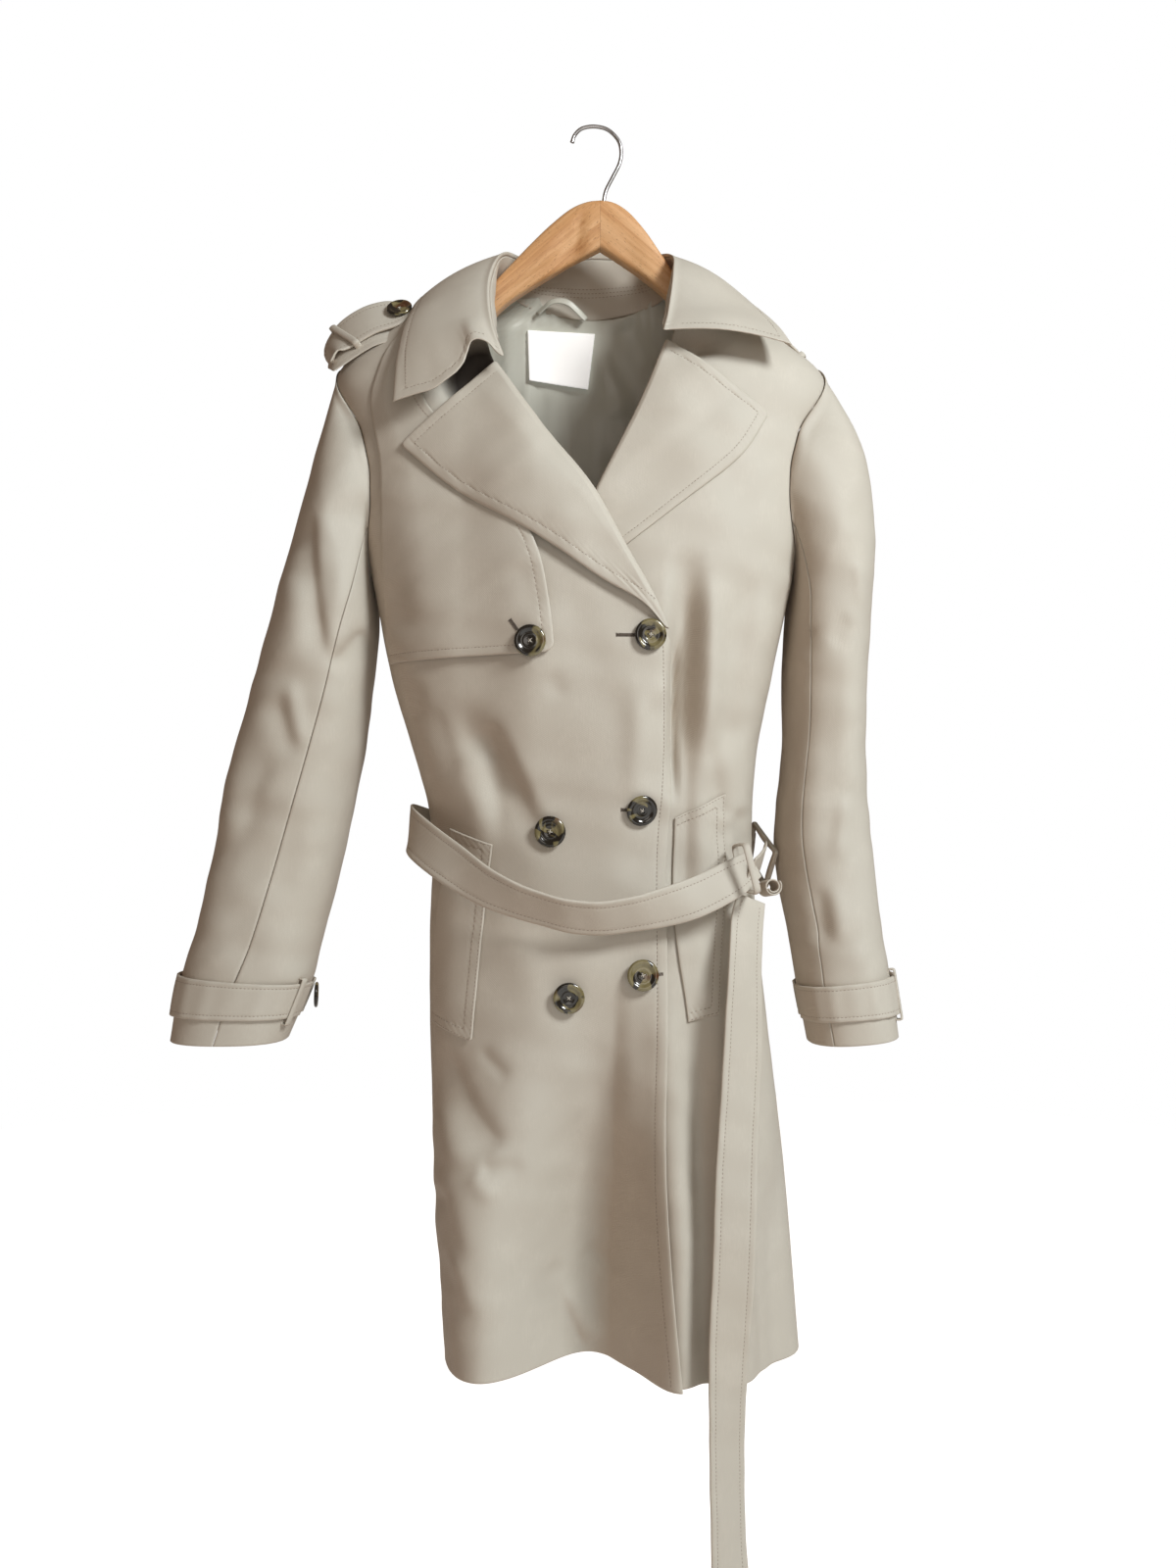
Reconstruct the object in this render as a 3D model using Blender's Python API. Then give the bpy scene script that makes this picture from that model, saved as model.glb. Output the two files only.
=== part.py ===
"""A double-breasted trench coat on a wooden hanger: one closed solid for each piece of it.

Metres, +Z up. The coat's front faces -Y and the wearer's right is at -X. The origin is the point where the
inside of the hanger's hook rests on whatever it hangs from.
"""

import math

import bmesh
import bpy
import numpy as np

# ---- Driving sizes -------------------------------------------------------------------------------

CLOTH = 0.0020  # body and sleeves, two layers of gabardine at their edges
STRAP = 0.0026  # belt, epaulettes and cuff straps
LINING = 0.0010
SEAM_GAP = 0.0004  # between pieces that are sewn edge to edge

NECK_Z = -0.1445  # where the shoulder seams meet the collar
SHOULDER_Z = -0.2310  # the shoulder seams' outer ends
ARMPIT_Z = -0.4300
HEM_Z = -1.1500
BREAK_Z = -0.4850  # where the lapels start to turn
BACK_NECK_Z = -0.1680
FLAP_Z = -0.5120  # lower edge of the gun flap
SHIELD_Z = -0.4780  # lower edge of the storm shield at its ends

ROUND = 2.8  # power of the body's rounded-square sections
ARMHOLE_REACH = math.radians(31)  # how far the armhole cuts into the front and the back

FRONT, BACK = -1.0, 1.0
RIGHT, LEFT = -1.0, 1.0


# ---- Tables with named columns, read between their rows by a smooth curve ------------------------


def smooth_curve(keys, values, key):
    """Cubic curve through values at rising keys; each slope is taken from the two neighbours."""
    keys = np.asarray(keys, float)
    values = np.asarray(values, float)
    slopes = np.gradient(values, keys, axis=0)
    key = np.clip(np.asarray(key, float), keys[0], keys[-1])
    i = np.clip(np.searchsorted(keys, key, side="right") - 1, 0, len(keys) - 2)
    span = keys[i + 1] - keys[i]
    t = (key - keys[i]) / span
    if values.ndim > 1:
        t, span = t[..., None], span[..., None]
    return (
        (1 + 2 * t) * (1 - t) ** 2 * values[i]
        + t * (1 - t) ** 2 * span * slopes[i]
        + t * t * (3 - 2 * t) * values[i + 1]
        + t * t * (t - 1) * span * slopes[i + 1]
    )


def smooth_step(value):
    value = np.clip(value, 0.0, 1.0)
    return value * value * (3 - 2 * value)


class Table:
    """Rows of named columns. The first column is the key that the others are read by."""

    def __init__(self, columns, rows):
        self.names = columns.split()
        self.rows = np.array(sorted(rows), float)

    def __call__(self, column, key):
        return smooth_curve(self.rows[:, 0], self.rows[:, self.names.index(column)], key)


BODY = Table(
    "z right left front back",
    [
        (-0.128, -0.074, 0.066, 0.030, 0.048),
        (NECK_Z, -0.100, 0.091, 0.036, 0.052),
        (-0.180, -0.156, 0.142, 0.050, 0.057),
        (-0.206, -0.197, 0.175, 0.059, 0.060),
        (SHOULDER_Z, -0.236, 0.209, 0.067, 0.062),
        (-0.300, -0.233, 0.206, 0.082, 0.069),
        (-0.360, -0.224, 0.197, 0.092, 0.073),
        (ARMPIT_Z, -0.209, 0.185, 0.099, 0.075),
        (-0.530, -0.189, 0.164, 0.101, 0.072),
        (-0.600, -0.168, 0.151, 0.096, 0.066),
        (-0.640, -0.157, 0.148, 0.092, 0.062),
        (-0.690, -0.153, 0.148, 0.089, 0.060),
        (-0.750, -0.155, 0.152, 0.092, 0.066),
        (-0.840, -0.155, 0.161, 0.097, 0.075),
        (-0.980, -0.149, 0.178, 0.099, 0.085),
        (HEM_Z, -0.141, 0.192, 0.100, 0.094),
    ],
)

# The largest folds of the body. Each runs from its top to its bottom; a positive height is a ridge.
FOLD_COLUMNS = "face x_top z_top x_bottom z_bottom half_width height fade_top fade_bottom"
BODY_FOLDS = [
    (FRONT, -0.120, -0.860, -0.105, -1.150, 0.050, 0.022, 0.60, 0.00),
    (FRONT, 0.000, -0.800, -0.014, -1.150, 0.085, -0.050, 0.75, 0.00),
    (FRONT, 0.060, -0.900, 0.084, -1.150, 0.050, 0.024, 0.60, 0.00),
    (FRONT, 0.110, -0.760, 0.122, -1.150, 0.032, 0.016, 0.40, 0.00),
    (FRONT, 0.155, -0.900, 0.168, -1.150, 0.035, -0.014, 0.60, 0.00),
    (FRONT, -0.120, -0.540, -0.060, -0.680, 0.034, -0.008, 0.40, 0.40),
    (FRONT, 0.082, -0.400, 0.080, -0.630, 0.022, -0.016, 0.35, 0.35),
    (BACK, -0.090, -0.740, -0.095, -1.150, 0.055, 0.020, 0.60, 0.00),
    (BACK, 0.015, -0.760, 0.020, -1.150, 0.060, -0.026, 0.60, 0.00),
    (BACK, 0.120, -0.740, 0.125, -1.150, 0.055, 0.018, 0.60, 0.00),
    (BACK, -0.060, -0.500, -0.040, -0.640, 0.035, -0.008, 0.40, 0.40),
    (BACK, 0.070, -0.480, 0.050, -0.630, 0.035, -0.008, 0.40, 0.40),
]


def body_fold(face, x, z):
    """How far the folds move the surface outwards there."""
    moved = np.zeros(np.broadcast(x, z).shape)
    for fold_face, x_top, z_top, x_bottom, z_bottom, half_width, height, fade_top, fade_bottom in BODY_FOLDS:
        if fold_face != face:
            continue
        along = np.clip((z - z_top) / (z_bottom - z_top), 0.0, 1.0)
        middle = x_top + (x_bottom - x_top) * along
        across = np.clip(np.abs(x - middle) / half_width, 0.0, 1.0)
        fade = smooth_step(along / fade_top)
        if fade_bottom:
            fade = fade * smooth_step((1 - along) / fade_bottom)
        moved = moved + height * fade * 0.5 * (1 + np.cos(math.pi * across))
    return moved


def body_section(face, z):
    """Middle, half width and depth of the section at that height."""
    right, left = BODY("right", z), BODY("left", z)
    return (left + right) / 2, (left - right) / 2, BODY("front" if face == FRONT else "back", z)


def body_surface(face, angle, z, lift=0.0):
    """Point of the coat's outer surface. The angle is 0 at the right side seam and pi at the left one."""
    angle, z = np.broadcast_arrays(np.asarray(angle, float), np.asarray(z, float))
    middle, half, depth = body_section(face, z)
    step = 0.002
    above, below = body_section(face, z + step), body_section(face, z - step)
    slope_middle, slope_half, slope_depth = [(a - b) / (2 * step) for a, b in zip(above, below)]
    cosine, sine = -np.cos(angle), np.abs(np.sin(angle))
    across = np.sign(cosine) * np.abs(cosine) ** (2 / ROUND)
    outward = sine ** (2 / ROUND)
    x, y = middle + half * across, face * depth * outward
    normal_x = np.sign(across) * np.abs(across) ** (ROUND - 1) / half
    normal_y = face * outward ** (ROUND - 1) / depth
    normal_z = (
        -normal_x * slope_middle
        - np.abs(across) ** ROUND * slope_half / half
        - outward**ROUND * slope_depth / depth
    )
    normal = np.stack([normal_x, normal_y, normal_z], axis=-1)
    normal /= np.linalg.norm(normal, axis=-1, keepdims=True)
    push = np.asarray(lift + body_fold(face, x, z) * smooth_step(sine / 0.35))
    return np.stack([x, y, z], axis=-1) + normal * push[..., None]


def body_angle(face, x, z):
    """The angle at which the section at that height is at x."""
    middle, half, _ = body_section(face, z)
    across = np.clip((x - middle) / half, -1.0, 1.0)
    return np.arccos(np.clip(-np.sign(across) * np.abs(across) ** (ROUND / 2), -1.0, 1.0))


def seam_angle(face, side, z):
    """The outer edge of a body panel: shoulder seam, then armhole, then side seam."""
    down = np.clip((SHOULDER_Z - z) / (SHOULDER_Z - ARMPIT_Z), 0.0, 1.0)
    reach = ARMHOLE_REACH * np.sin(math.pi * down) ** 0.7
    _, half, depth = body_section(face, z)
    clear = np.arcsin(np.clip((SEAM_GAP / depth) ** (ROUND / 2), 0.0, 1.0))
    reach = np.maximum(reach, clear)
    return reach if side == RIGHT else math.pi - reach


# ---- Turning grids of points into solids ---------------------------------------------------------

MATERIALS = {}


def material(name, colour, roughness, metallic=0.0):
    made = bpy.data.materials.new(name)
    made.use_nodes = True
    shader = made.node_tree.nodes["Principled BSDF"]
    shader.inputs["Base Color"].default_value = (*colour, 1.0)
    shader.inputs["Roughness"].default_value = roughness
    shader.inputs["Metallic"].default_value = metallic
    MATERIALS[name] = made


def new_object(name, points, faces, finish, sharp=40):
    mesh = bpy.data.meshes.new(name)
    mesh.from_pydata(np.asarray(points).tolist(), [], faces)
    shape = bmesh.new()
    shape.from_mesh(mesh)
    bmesh.ops.recalc_face_normals(shape, faces=shape.faces)
    shape.to_mesh(mesh)
    shape.free()
    mesh.materials.append(MATERIALS[finish])
    mesh.shade_smooth()
    mesh.set_sharp_from_angle(angle=math.radians(sharp))
    obj = bpy.data.objects.new(name, mesh)
    bpy.context.scene.collection.objects.link(obj)
    return obj


def shell(name, outer, inner, finish="gabardine"):
    """A closed wall between two grids of points that have the same rows and columns."""
    rows, columns = outer.shape[:2]
    count = rows * columns
    faces = []
    for i in range(rows - 1):
        for j in range(columns - 1):
            a = i * columns + j
            quad = (a, a + 1, a + columns + 1, a + columns)
            faces.append(quad)
            faces.append(tuple(count + k for k in reversed(quad)))
    rim = [j for j in range(columns)]
    rim += [i * columns + columns - 1 for i in range(1, rows)]
    rim += [(rows - 1) * columns + j for j in range(columns - 2, -1, -1)]
    rim += [i * columns for i in range(rows - 2, 0, -1)]
    for a, b in zip(rim, rim[1:] + rim[:1]):
        faces.append((b, a, count + a, count + b))
    points = np.concatenate([outer.reshape(-1, 3), inner.reshape(-1, 3)])
    return new_object(name, points, faces, finish)


def loft(name, rings, finish, closed=False, sharp=40):
    """A solid through rings of points. It is capped at both ends, or its last ring joins its first."""
    rings = np.asarray(rings, float)
    count, around = rings.shape[:2]
    faces = []
    for i in range(count if closed else count - 1):
        for j in range(around):
            a, b = i * around, ((i + 1) % count) * around
            k = (j + 1) % around
            faces.append((a + j, a + k, b + k, b + j))
    if not closed:
        faces.append(tuple(reversed(range(around))))
        faces.append(tuple(range((count - 1) * around, count * around)))
    return new_object(name, rings.reshape(-1, 3), faces, finish, sharp)


def unit(vector):
    vector = np.asarray(vector, float)
    return vector / np.linalg.norm(vector, axis=-1, keepdims=True)


def grid_normals(grid):
    """Unit normals of a grid: across the rows, crossed with down the columns."""
    return unit(np.cross(np.gradient(grid, axis=1), np.gradient(grid, axis=0)))


def body_wall(name, face, angle, z, lift, thickness=CLOTH, finish="gabardine"):
    shell(name, body_surface(face, angle, z, lift), body_surface(face, angle, z, lift - thickness), finish)


def panel(face, side, heights, inner_x, columns, lift):
    """Angles, heights and lifts of a body panel, from its outer seam to its inner edge, a row for each height."""
    heights = np.asarray(heights, float)[:, None]
    share = np.linspace(0.0, 1.0, columns)[None, :]
    outer = seam_angle(face, side, heights)
    angle = outer + (body_angle(face, inner_x(heights), heights) - outer) * share
    heights = np.broadcast_to(heights, angle.shape)
    middle, half, _ = body_section(face, heights)
    cosine = -np.cos(angle)
    x = middle + half * np.sign(cosine) * np.abs(cosine) ** (2 / ROUND)
    return angle, heights, lift(x, heights)


def on_body(face, x, z, lift=0.0):
    x, z = np.broadcast_arrays(np.asarray(x, float), np.asarray(z, float))
    return body_surface(face, body_angle(face, x, z), z, lift)


# ---- Fronts and back -----------------------------------------------------------------------------

# Inner edge of the right front: its neckline, its roll line and its straight front edge.
RIGHT_EDGE = Table(
    "z x",
    [
        (NECK_Z, -0.0975),
        (-0.1800, -0.0965),
        (-0.2380, -0.0870),
        (-0.2770, -0.0610),
        (-0.3100, -0.0390),
        (-0.3630, -0.0010),
        (-0.4120, 0.0270),
        (-0.4560, 0.0510),
        (BREAK_Z, 0.0640),
        (-0.5300, 0.0680),
        (-0.5900, 0.0690),
        (-0.6960, 0.0630),
        (-0.8000, 0.0630),
        (-0.9900, 0.0620),
        (-1.0600, 0.0660),
        (HEM_Z, 0.0740),
    ],
)
LEFT_EDGE = Table(
    "z x",
    [
        (NECK_Z, 0.0890),
        (-0.1800, 0.0740),
        (-0.2176, 0.0640),
        (-0.2796, 0.0380),
        (-0.3250, 0.0165),
        (-0.3571, 0.0010),
        (-0.4200, -0.0300),
        (-0.4750, -0.0500),
        (-0.5300, -0.0580),
        (-0.6300, -0.0560),
        (HEM_Z, -0.0500),
    ],
)
OVERLAP = Table("z lift", [(-1.15, 0.0095), (-0.66, 0.0085), (-0.52, 0.0120), (-0.14, 0.0120)])

SHOULDER_ROWS = [NECK_Z, -0.1600, -0.1800, -0.2050, SHOULDER_Z]
BACK_SHOULDER_ROWS = [NECK_Z, -0.1520, -0.1620, BACK_NECK_Z, -0.1850, -0.2080, SHOULDER_Z]
ARMHOLE_ROWS = [-0.2450, -0.2650, -0.3000, -0.3500, -0.3950, -0.4180, ARMPIT_Z]
BODICE_ROWS = [-0.4600, -0.5100, -0.5700, -0.6300, -0.6900]
SKIRT_ROWS = [-0.7600, -0.8300, -0.9100, -0.9900, -1.0700, HEM_Z]
LOWER_ROWS = ARMHOLE_ROWS + BODICE_ROWS + SKIRT_ROWS


def front_lift(x, z):
    """How far the right front stands off the left one, which it laps over."""
    return OVERLAP("lift", z) * smooth_step((x + 0.120) / 0.070)


def no_lift(x, z):
    return np.zeros(np.broadcast(x, z).shape)


def back_edge(side):
    """Inner edge of a back panel: the back neckline, then the centre seam."""

    def edge(z):
        middle, half, _ = body_section(BACK, z)
        rise = np.clip((z - BACK_NECK_Z) / (NECK_Z - BACK_NECK_Z), 0.0, 1.0)
        return middle + side * (SEAM_GAP / 2 + (half - 0.008) * np.sqrt(rise))

    return edge


def make_body():
    rows = SHOULDER_ROWS + LOWER_ROWS
    body_wall("front_right", FRONT, *panel(FRONT, RIGHT, rows, lambda z: RIGHT_EDGE("x", z), 10, front_lift))
    body_wall("front_left", FRONT, *panel(FRONT, LEFT, rows, lambda z: LEFT_EDGE("x", z), 10, no_lift))
    rows = BACK_SHOULDER_ROWS + LOWER_ROWS
    for side, name in ((RIGHT, "back_right"), (LEFT, "back_left")):
        body_wall(name, BACK, *panel(BACK, side, rows, back_edge(side), 8, no_lift))


# ---- What lies on the body: storm shield, gun flap, lapels and pockets ---------------------------

PATCH = "v start_x start_z end_x end_z"
SHIELD = Table(
    PATCH,
    [
        (0.00, -0.1330, -0.1780, 0.1260, -0.1780),
        (0.15, -0.1770, -0.2120, 0.1610, -0.2120),
        (0.30, -0.1950, -0.2620, 0.1740, -0.2620),
        (0.60, -0.1900, -0.3700, 0.1660, -0.3700),
        (1.00, -0.1870, SHIELD_Z, 0.1680, SHIELD_Z),
    ],
)
SHIELD_DIP = 0.022
GUN_FLAP = Table(
    PATCH,
    [
        (0.00, -0.1400, -0.1800, -0.1060, -0.1740),
        (0.12, -0.1820, -0.2130, -0.1120, -0.2150),
        (0.25, -0.2020, -0.2620, -0.1060, -0.2650),
        (0.45, -0.1940, -0.3300, -0.0880, -0.3350),
        (0.65, -0.1930, -0.4000, -0.0550, -0.4050),
        (0.85, -0.1930, -0.4650, -0.0400, -0.4630),
        (1.00, -0.1880, FLAP_Z, -0.0350, -0.5070),
    ],
)
# The lapels' rows run from the roll line out to the free edge; the first row is the gorge.
LAPEL_RIGHT = Table(
    PATCH,
    [
        (0.00, -0.0880, -0.2450, -0.1725, -0.3190),
        (0.25, -0.0470, -0.3050, -0.1230, -0.3620),
        (0.50, -0.0020, -0.3620, -0.0515, -0.4057),
        (0.72, 0.0270, -0.4140, 0.0050, -0.4440),
        (0.88, 0.0510, -0.4580, 0.0410, -0.4650),
        (1.00, 0.0640, -0.4860, 0.0605, -0.4850),
    ],
)
LAPEL_LEFT = Table(
    PATCH,
    [
        (0.00, 0.0640, -0.2185, 0.1570, -0.2870),
        (0.33, 0.0390, -0.2800, 0.1290, -0.3290),
        (0.66, 0.0020, -0.3560, 0.0740, -0.3740),
        (1.00, -0.0260, -0.4150, 0.0080, -0.4260),
    ],
)
POCKET_RIGHT = Table(
    PATCH,
    [
        (0.0, -0.1310, -0.6620, -0.0897, -0.6756),
        (0.5, -0.1460, -0.7500, -0.0995, -0.7550),
        (1.0, -0.1480, -0.8390, -0.1090, -0.8525),
    ],
)
POCKET_LEFT = Table(
    PATCH,
    [
        (0.0, 0.0720, -0.6530, 0.1180, -0.6310),
        (0.5, 0.0700, -0.7420, 0.1150, -0.7300),
        (1.0, 0.0820, -0.8334, 0.1084, -0.8268),
    ],
)


def patch(table, rows, columns):
    """x, z and the two shares of a patch's grid: down its rows and across from its start to its end."""
    v, u = np.meshgrid(np.linspace(0, 1, rows), np.linspace(0, 1, columns), indexing="ij")
    x = table("start_x", v) + (table("end_x", v) - table("start_x", v)) * u
    z = table("start_z", v) + (table("end_z", v) - table("start_z", v)) * u
    return x, z, v, u


def lay_patch(name, face, x, z, lift, thickness=CLOTH):
    shell(name, on_body(face, x, z, lift), on_body(face, x, z, lift - thickness))


def lapel_roll(v, u):
    """How far a lapel swells off the chest between its roll line and its free edge."""
    return 0.0045 * np.sin(math.pi * np.clip(u, 0, 1)) ** 0.7 * np.sin(math.pi * np.clip(0.15 + 0.85 * v, 0, 1))


def make_laid_pieces():
    x, z, v, u = patch(SHIELD, 8, 13)
    lay_patch("storm_shield", BACK, x, z - SHIELD_DIP * v**2 * np.sin(math.pi * u), 0.0065 + 0.001 * v)
    x, z, v, u = patch(GUN_FLAP, 10, 8)
    lay_patch("gun_flap_right", FRONT, x, z, front_lift(x, z) + 0.0057)
    x, z, v, u = patch(LAPEL_RIGHT, 11, 8)
    lift = front_lift(x, z) + 0.0066 + 0.0030 * smooth_step(u / 0.25) * (1 - v) + lapel_roll(v, u)
    lay_patch("lapel_right", FRONT, x, z, lift)
    x, z, v, u = patch(LAPEL_LEFT, 9, 7)
    lift = 0.0028 + lapel_roll(v, u) * (1 - smooth_step((v - 0.35) / 0.35))
    lay_patch("lapel_left", FRONT, x, z, lift)
    x, z, v, u = patch(POCKET_RIGHT, 9, 5)
    lay_patch("pocket_right", FRONT, x, z, front_lift(x, z) + 0.0050)
    x, z, v, u = patch(POCKET_LEFT, 9, 4)
    lay_patch("pocket_left", FRONT, x, z, 0.0048 + 0 * x)


# ---- Collar --------------------------------------------------------------------------------------

# From its right front end, round the back of the neck, to its left front end.
COLLAR_FALL = Table(
    "s fold_x fold_y fold_z edge_x edge_y edge_z",
    [
        (0.00, -0.0880, -0.1020, -0.2420, -0.1795, -0.0930, -0.2833),
        (0.10, -0.0965, -0.0830, -0.2050, -0.1780, -0.0740, -0.2350),
        (0.20, -0.0990, -0.0500, -0.1580, -0.1720, -0.0400, -0.1930),
        (0.29, -0.0900, -0.0080, -0.1240, -0.1620, 0.0050, -0.1640),
        (0.38, -0.0640, 0.0400, -0.1140, -0.1200, 0.0660, -0.1800),
        (0.50, -0.0040, 0.0600, -0.1090, -0.0040, 0.0880, -0.1980),
        (0.62, 0.0520, 0.0400, -0.1120, 0.1020, 0.0640, -0.1800),
        (0.71, 0.0730, -0.0080, -0.1220, 0.1290, 0.0050, -0.1580),
        (0.82, 0.0745, -0.0470, -0.1520, 0.1530, -0.0360, -0.1840),
        (0.92, 0.0690, -0.0700, -0.1930, 0.1680, -0.0620, -0.2080),
        (1.00, 0.0640, -0.0880, -0.2176, 0.1763, -0.0790, -0.2278),
    ],
)
COLLAR_STAND = Table(
    "s low_x low_y low_z",
    [
        (0.05, -0.0880, -0.0700, -0.2290),
        (0.20, -0.0930, -0.0300, -0.1760),
        (0.29, -0.0955, 0.0000, -0.1420),
        (0.38, -0.0700, 0.0370, -0.1550),
        (0.50, -0.0040, 0.0470, -0.1672),
        (0.62, 0.0600, 0.0370, -0.1550),
        (0.71, 0.0870, 0.0000, -0.1420),
        (0.82, 0.0700, -0.0300, -0.1740),
        (0.95, 0.0620, -0.0640, -0.2080),
    ],
)


def read_point(table, start, s):
    return np.stack([table(start + axis, s) for axis in ("_x", "_y", "_z")], axis=-1)


def collar_grid(along, across):
    s, t = np.meshgrid(np.linspace(0, 1, along), np.linspace(0, 1, across), indexing="ij")
    fold, edge = read_point(COLLAR_FALL, "fold", s), read_point(COLLAR_FALL, "edge", s)
    grid = fold + (edge - fold) * t[..., None]
    puff = 0.010 * np.sin(math.pi * t) ** 0.8
    return grid - grid_normals(grid) * puff[..., None]


def make_collar():
    outer = collar_grid(29, 5)
    inner = outer + grid_normals(outer) * CLOTH
    shell("collar_fall", outer, inner)
    first, last = 2, 26
    share = np.linspace(0, 1, 3)[None, :, None]
    top = (inner + grid_normals(outer) * 0.0006)[first:last + 1, :1]
    low = read_point(COLLAR_STAND, "low", np.linspace(0, 1, 29)[first:last + 1, None])
    outer = top + (low - top) * share
    inner = outer + grid_normals(outer) * CLOTH
    shell("collar_stand", outer, inner)


# ---- Sleeves -------------------------------------------------------------------------------------

SLEEVE = "v outer_x outer_z inner_x inner_z depth y front_seam"
SLEEVE_RIGHT = Table(
    SLEEVE,
    [
        (0.00, -0.2370, -0.2310, -0.2090, -0.4300, 0.064, 0.000, 126),
        (0.10, -0.2560, -0.2900, -0.2065, -0.4700, 0.070, 0.000, 120),
        (0.22, -0.2800, -0.3720, -0.2105, -0.5200, 0.070, -0.002, 112),
        (0.36, -0.3060, -0.4730, -0.2180, -0.5850, 0.066, -0.004, 106),
        (0.54, -0.3410, -0.6040, -0.2360, -0.6800, 0.060, -0.007, 100),
        (0.74, -0.3690, -0.7430, -0.2570, -0.7680, 0.054, -0.012, 93),
        (0.88, -0.3870, -0.8060, -0.2680, -0.8120, 0.050, -0.016, 89),
        (1.00, -0.3955, -0.8600, -0.2880, -0.8600, 0.047, -0.018, 86),
    ],
)
SLEEVE_LEFT = Table(
    SLEEVE,
    [
        (0.00, 0.2100, -0.2310, 0.1850, -0.4300, 0.064, 0.000, 122),
        (0.10, 0.2460, -0.2900, 0.1815, -0.4700, 0.070, 0.000, 122),
        (0.22, 0.2620, -0.3720, 0.1780, -0.5220, 0.070, -0.002, 122),
        (0.36, 0.2580, -0.4730, 0.1780, -0.5900, 0.066, -0.004, 122),
        (0.54, 0.2530, -0.6040, 0.1700, -0.6800, 0.060, -0.008, 121),
        (0.74, 0.2660, -0.7430, 0.1830, -0.7680, 0.054, -0.014, 120),
        (0.88, 0.2760, -0.8060, 0.1900, -0.8140, 0.050, -0.018, 121),
        (1.00, 0.2825, -0.8560, 0.1990, -0.8620, 0.047, -0.020, 121),
    ],
)
SLEEVE_ROUND = 2.3
BACK_SEAM = 238


def sleeve_point(side, theta, v, lift=0.0):
    """Point of a sleeve. Theta is 0 at its outer edge, 90 degrees at its front and 180 at its inner edge."""
    theta, v = np.broadcast_arrays(np.asarray(theta, float), np.asarray(v, float))
    lift = np.broadcast_to(np.asarray(lift, float), v.shape)
    table = SLEEVE_RIGHT if side == RIGHT else SLEEVE_LEFT
    outer = np.stack([table("outer_x", v), table("y", v), table("outer_z", v)], axis=-1)
    inner = np.stack([table("inner_x", v), table("y", v), table("inner_z", v)], axis=-1)
    cosine, sine = np.cos(theta), np.sin(theta)
    reach = np.linalg.norm(outer - inner, axis=-1) / 2
    way = unit(outer - inner)
    depth = table("depth", v)
    along = np.sign(cosine) * np.abs(cosine) ** (2 / SLEEVE_ROUND)
    forward = np.sign(sine) * np.abs(sine) ** (2 / SLEEVE_ROUND)
    normal_along = np.sign(along) * np.abs(along) ** (SLEEVE_ROUND - 1) / reach
    normal_forward = np.sign(forward) * np.abs(forward) ** (SLEEVE_ROUND - 1) / depth
    size = np.hypot(normal_along, normal_forward)
    along = along * reach + lift * normal_along / size
    forward = forward * depth + lift * normal_forward / size
    front = np.array([0.0, -1.0, 0.0])
    tube = (outer + inner) / 2 + way * along[..., None] + front * forward[..., None]
    z = (SHOULDER_Z + ARMPIT_Z) / 2 + (SHOULDER_Z - ARMPIT_Z) / 2 * cosine
    hole = np.where(
        (sine >= 0)[..., None],
        body_surface(FRONT, seam_angle(FRONT, side, z), z),
        body_surface(BACK, seam_angle(BACK, side, z), z),
    )
    hole = hole + np.array([side * 0.0022, 0.0, 0.0])
    hole[..., 1] -= lift * forward / depth
    hole[..., 2] += lift * cosine
    share = smooth_step(v / 0.14)[..., None]
    return hole + (tube - hole) * share


def make_sleeves():
    gap = 0.006
    rows = np.array([0, 0.025, 0.06, 0.10, 0.15, 0.24, 0.36, 0.48, 0.60, 0.72, 0.84, 0.92, 1.0])
    for side, word in ((RIGHT, "right"), (LEFT, "left")):
        table = SLEEVE_RIGHT if side == RIGHT else SLEEVE_LEFT
        v = rows[:, None]
        front = np.radians(table("front_seam", v))
        back = math.radians(BACK_SEAM)
        share = np.linspace(0, 1, 11)[None, :]
        theta = (back - 2 * math.pi + gap) + (front - gap - (back - 2 * math.pi + gap)) * share
        shell(f"sleeve_{word}_upper", sleeve_point(side, theta, v), sleeve_point(side, theta, v, -CLOTH))
        share = np.linspace(0, 1, 7)[None, :]
        theta = (front + gap) + (back - gap - (front + gap)) * share
        shell(f"sleeve_{word}_under", sleeve_point(side, theta, v), sleeve_point(side, theta, v, -CLOTH))


# ---- Straps and loops ----------------------------------------------------------------------------


def strap_rings(points, across, facing, half_width, thickness):
    """Rings of a flat strap: its middle line, its direction across and the way its outer face looks."""
    across, facing = unit(across), unit(facing)
    wide, deep = across * np.asarray(half_width)[..., None], facing * thickness / 2
    return np.stack([points - wide - deep, points + wide - deep, points + wide + deep, points - wide + deep], 1)


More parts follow.
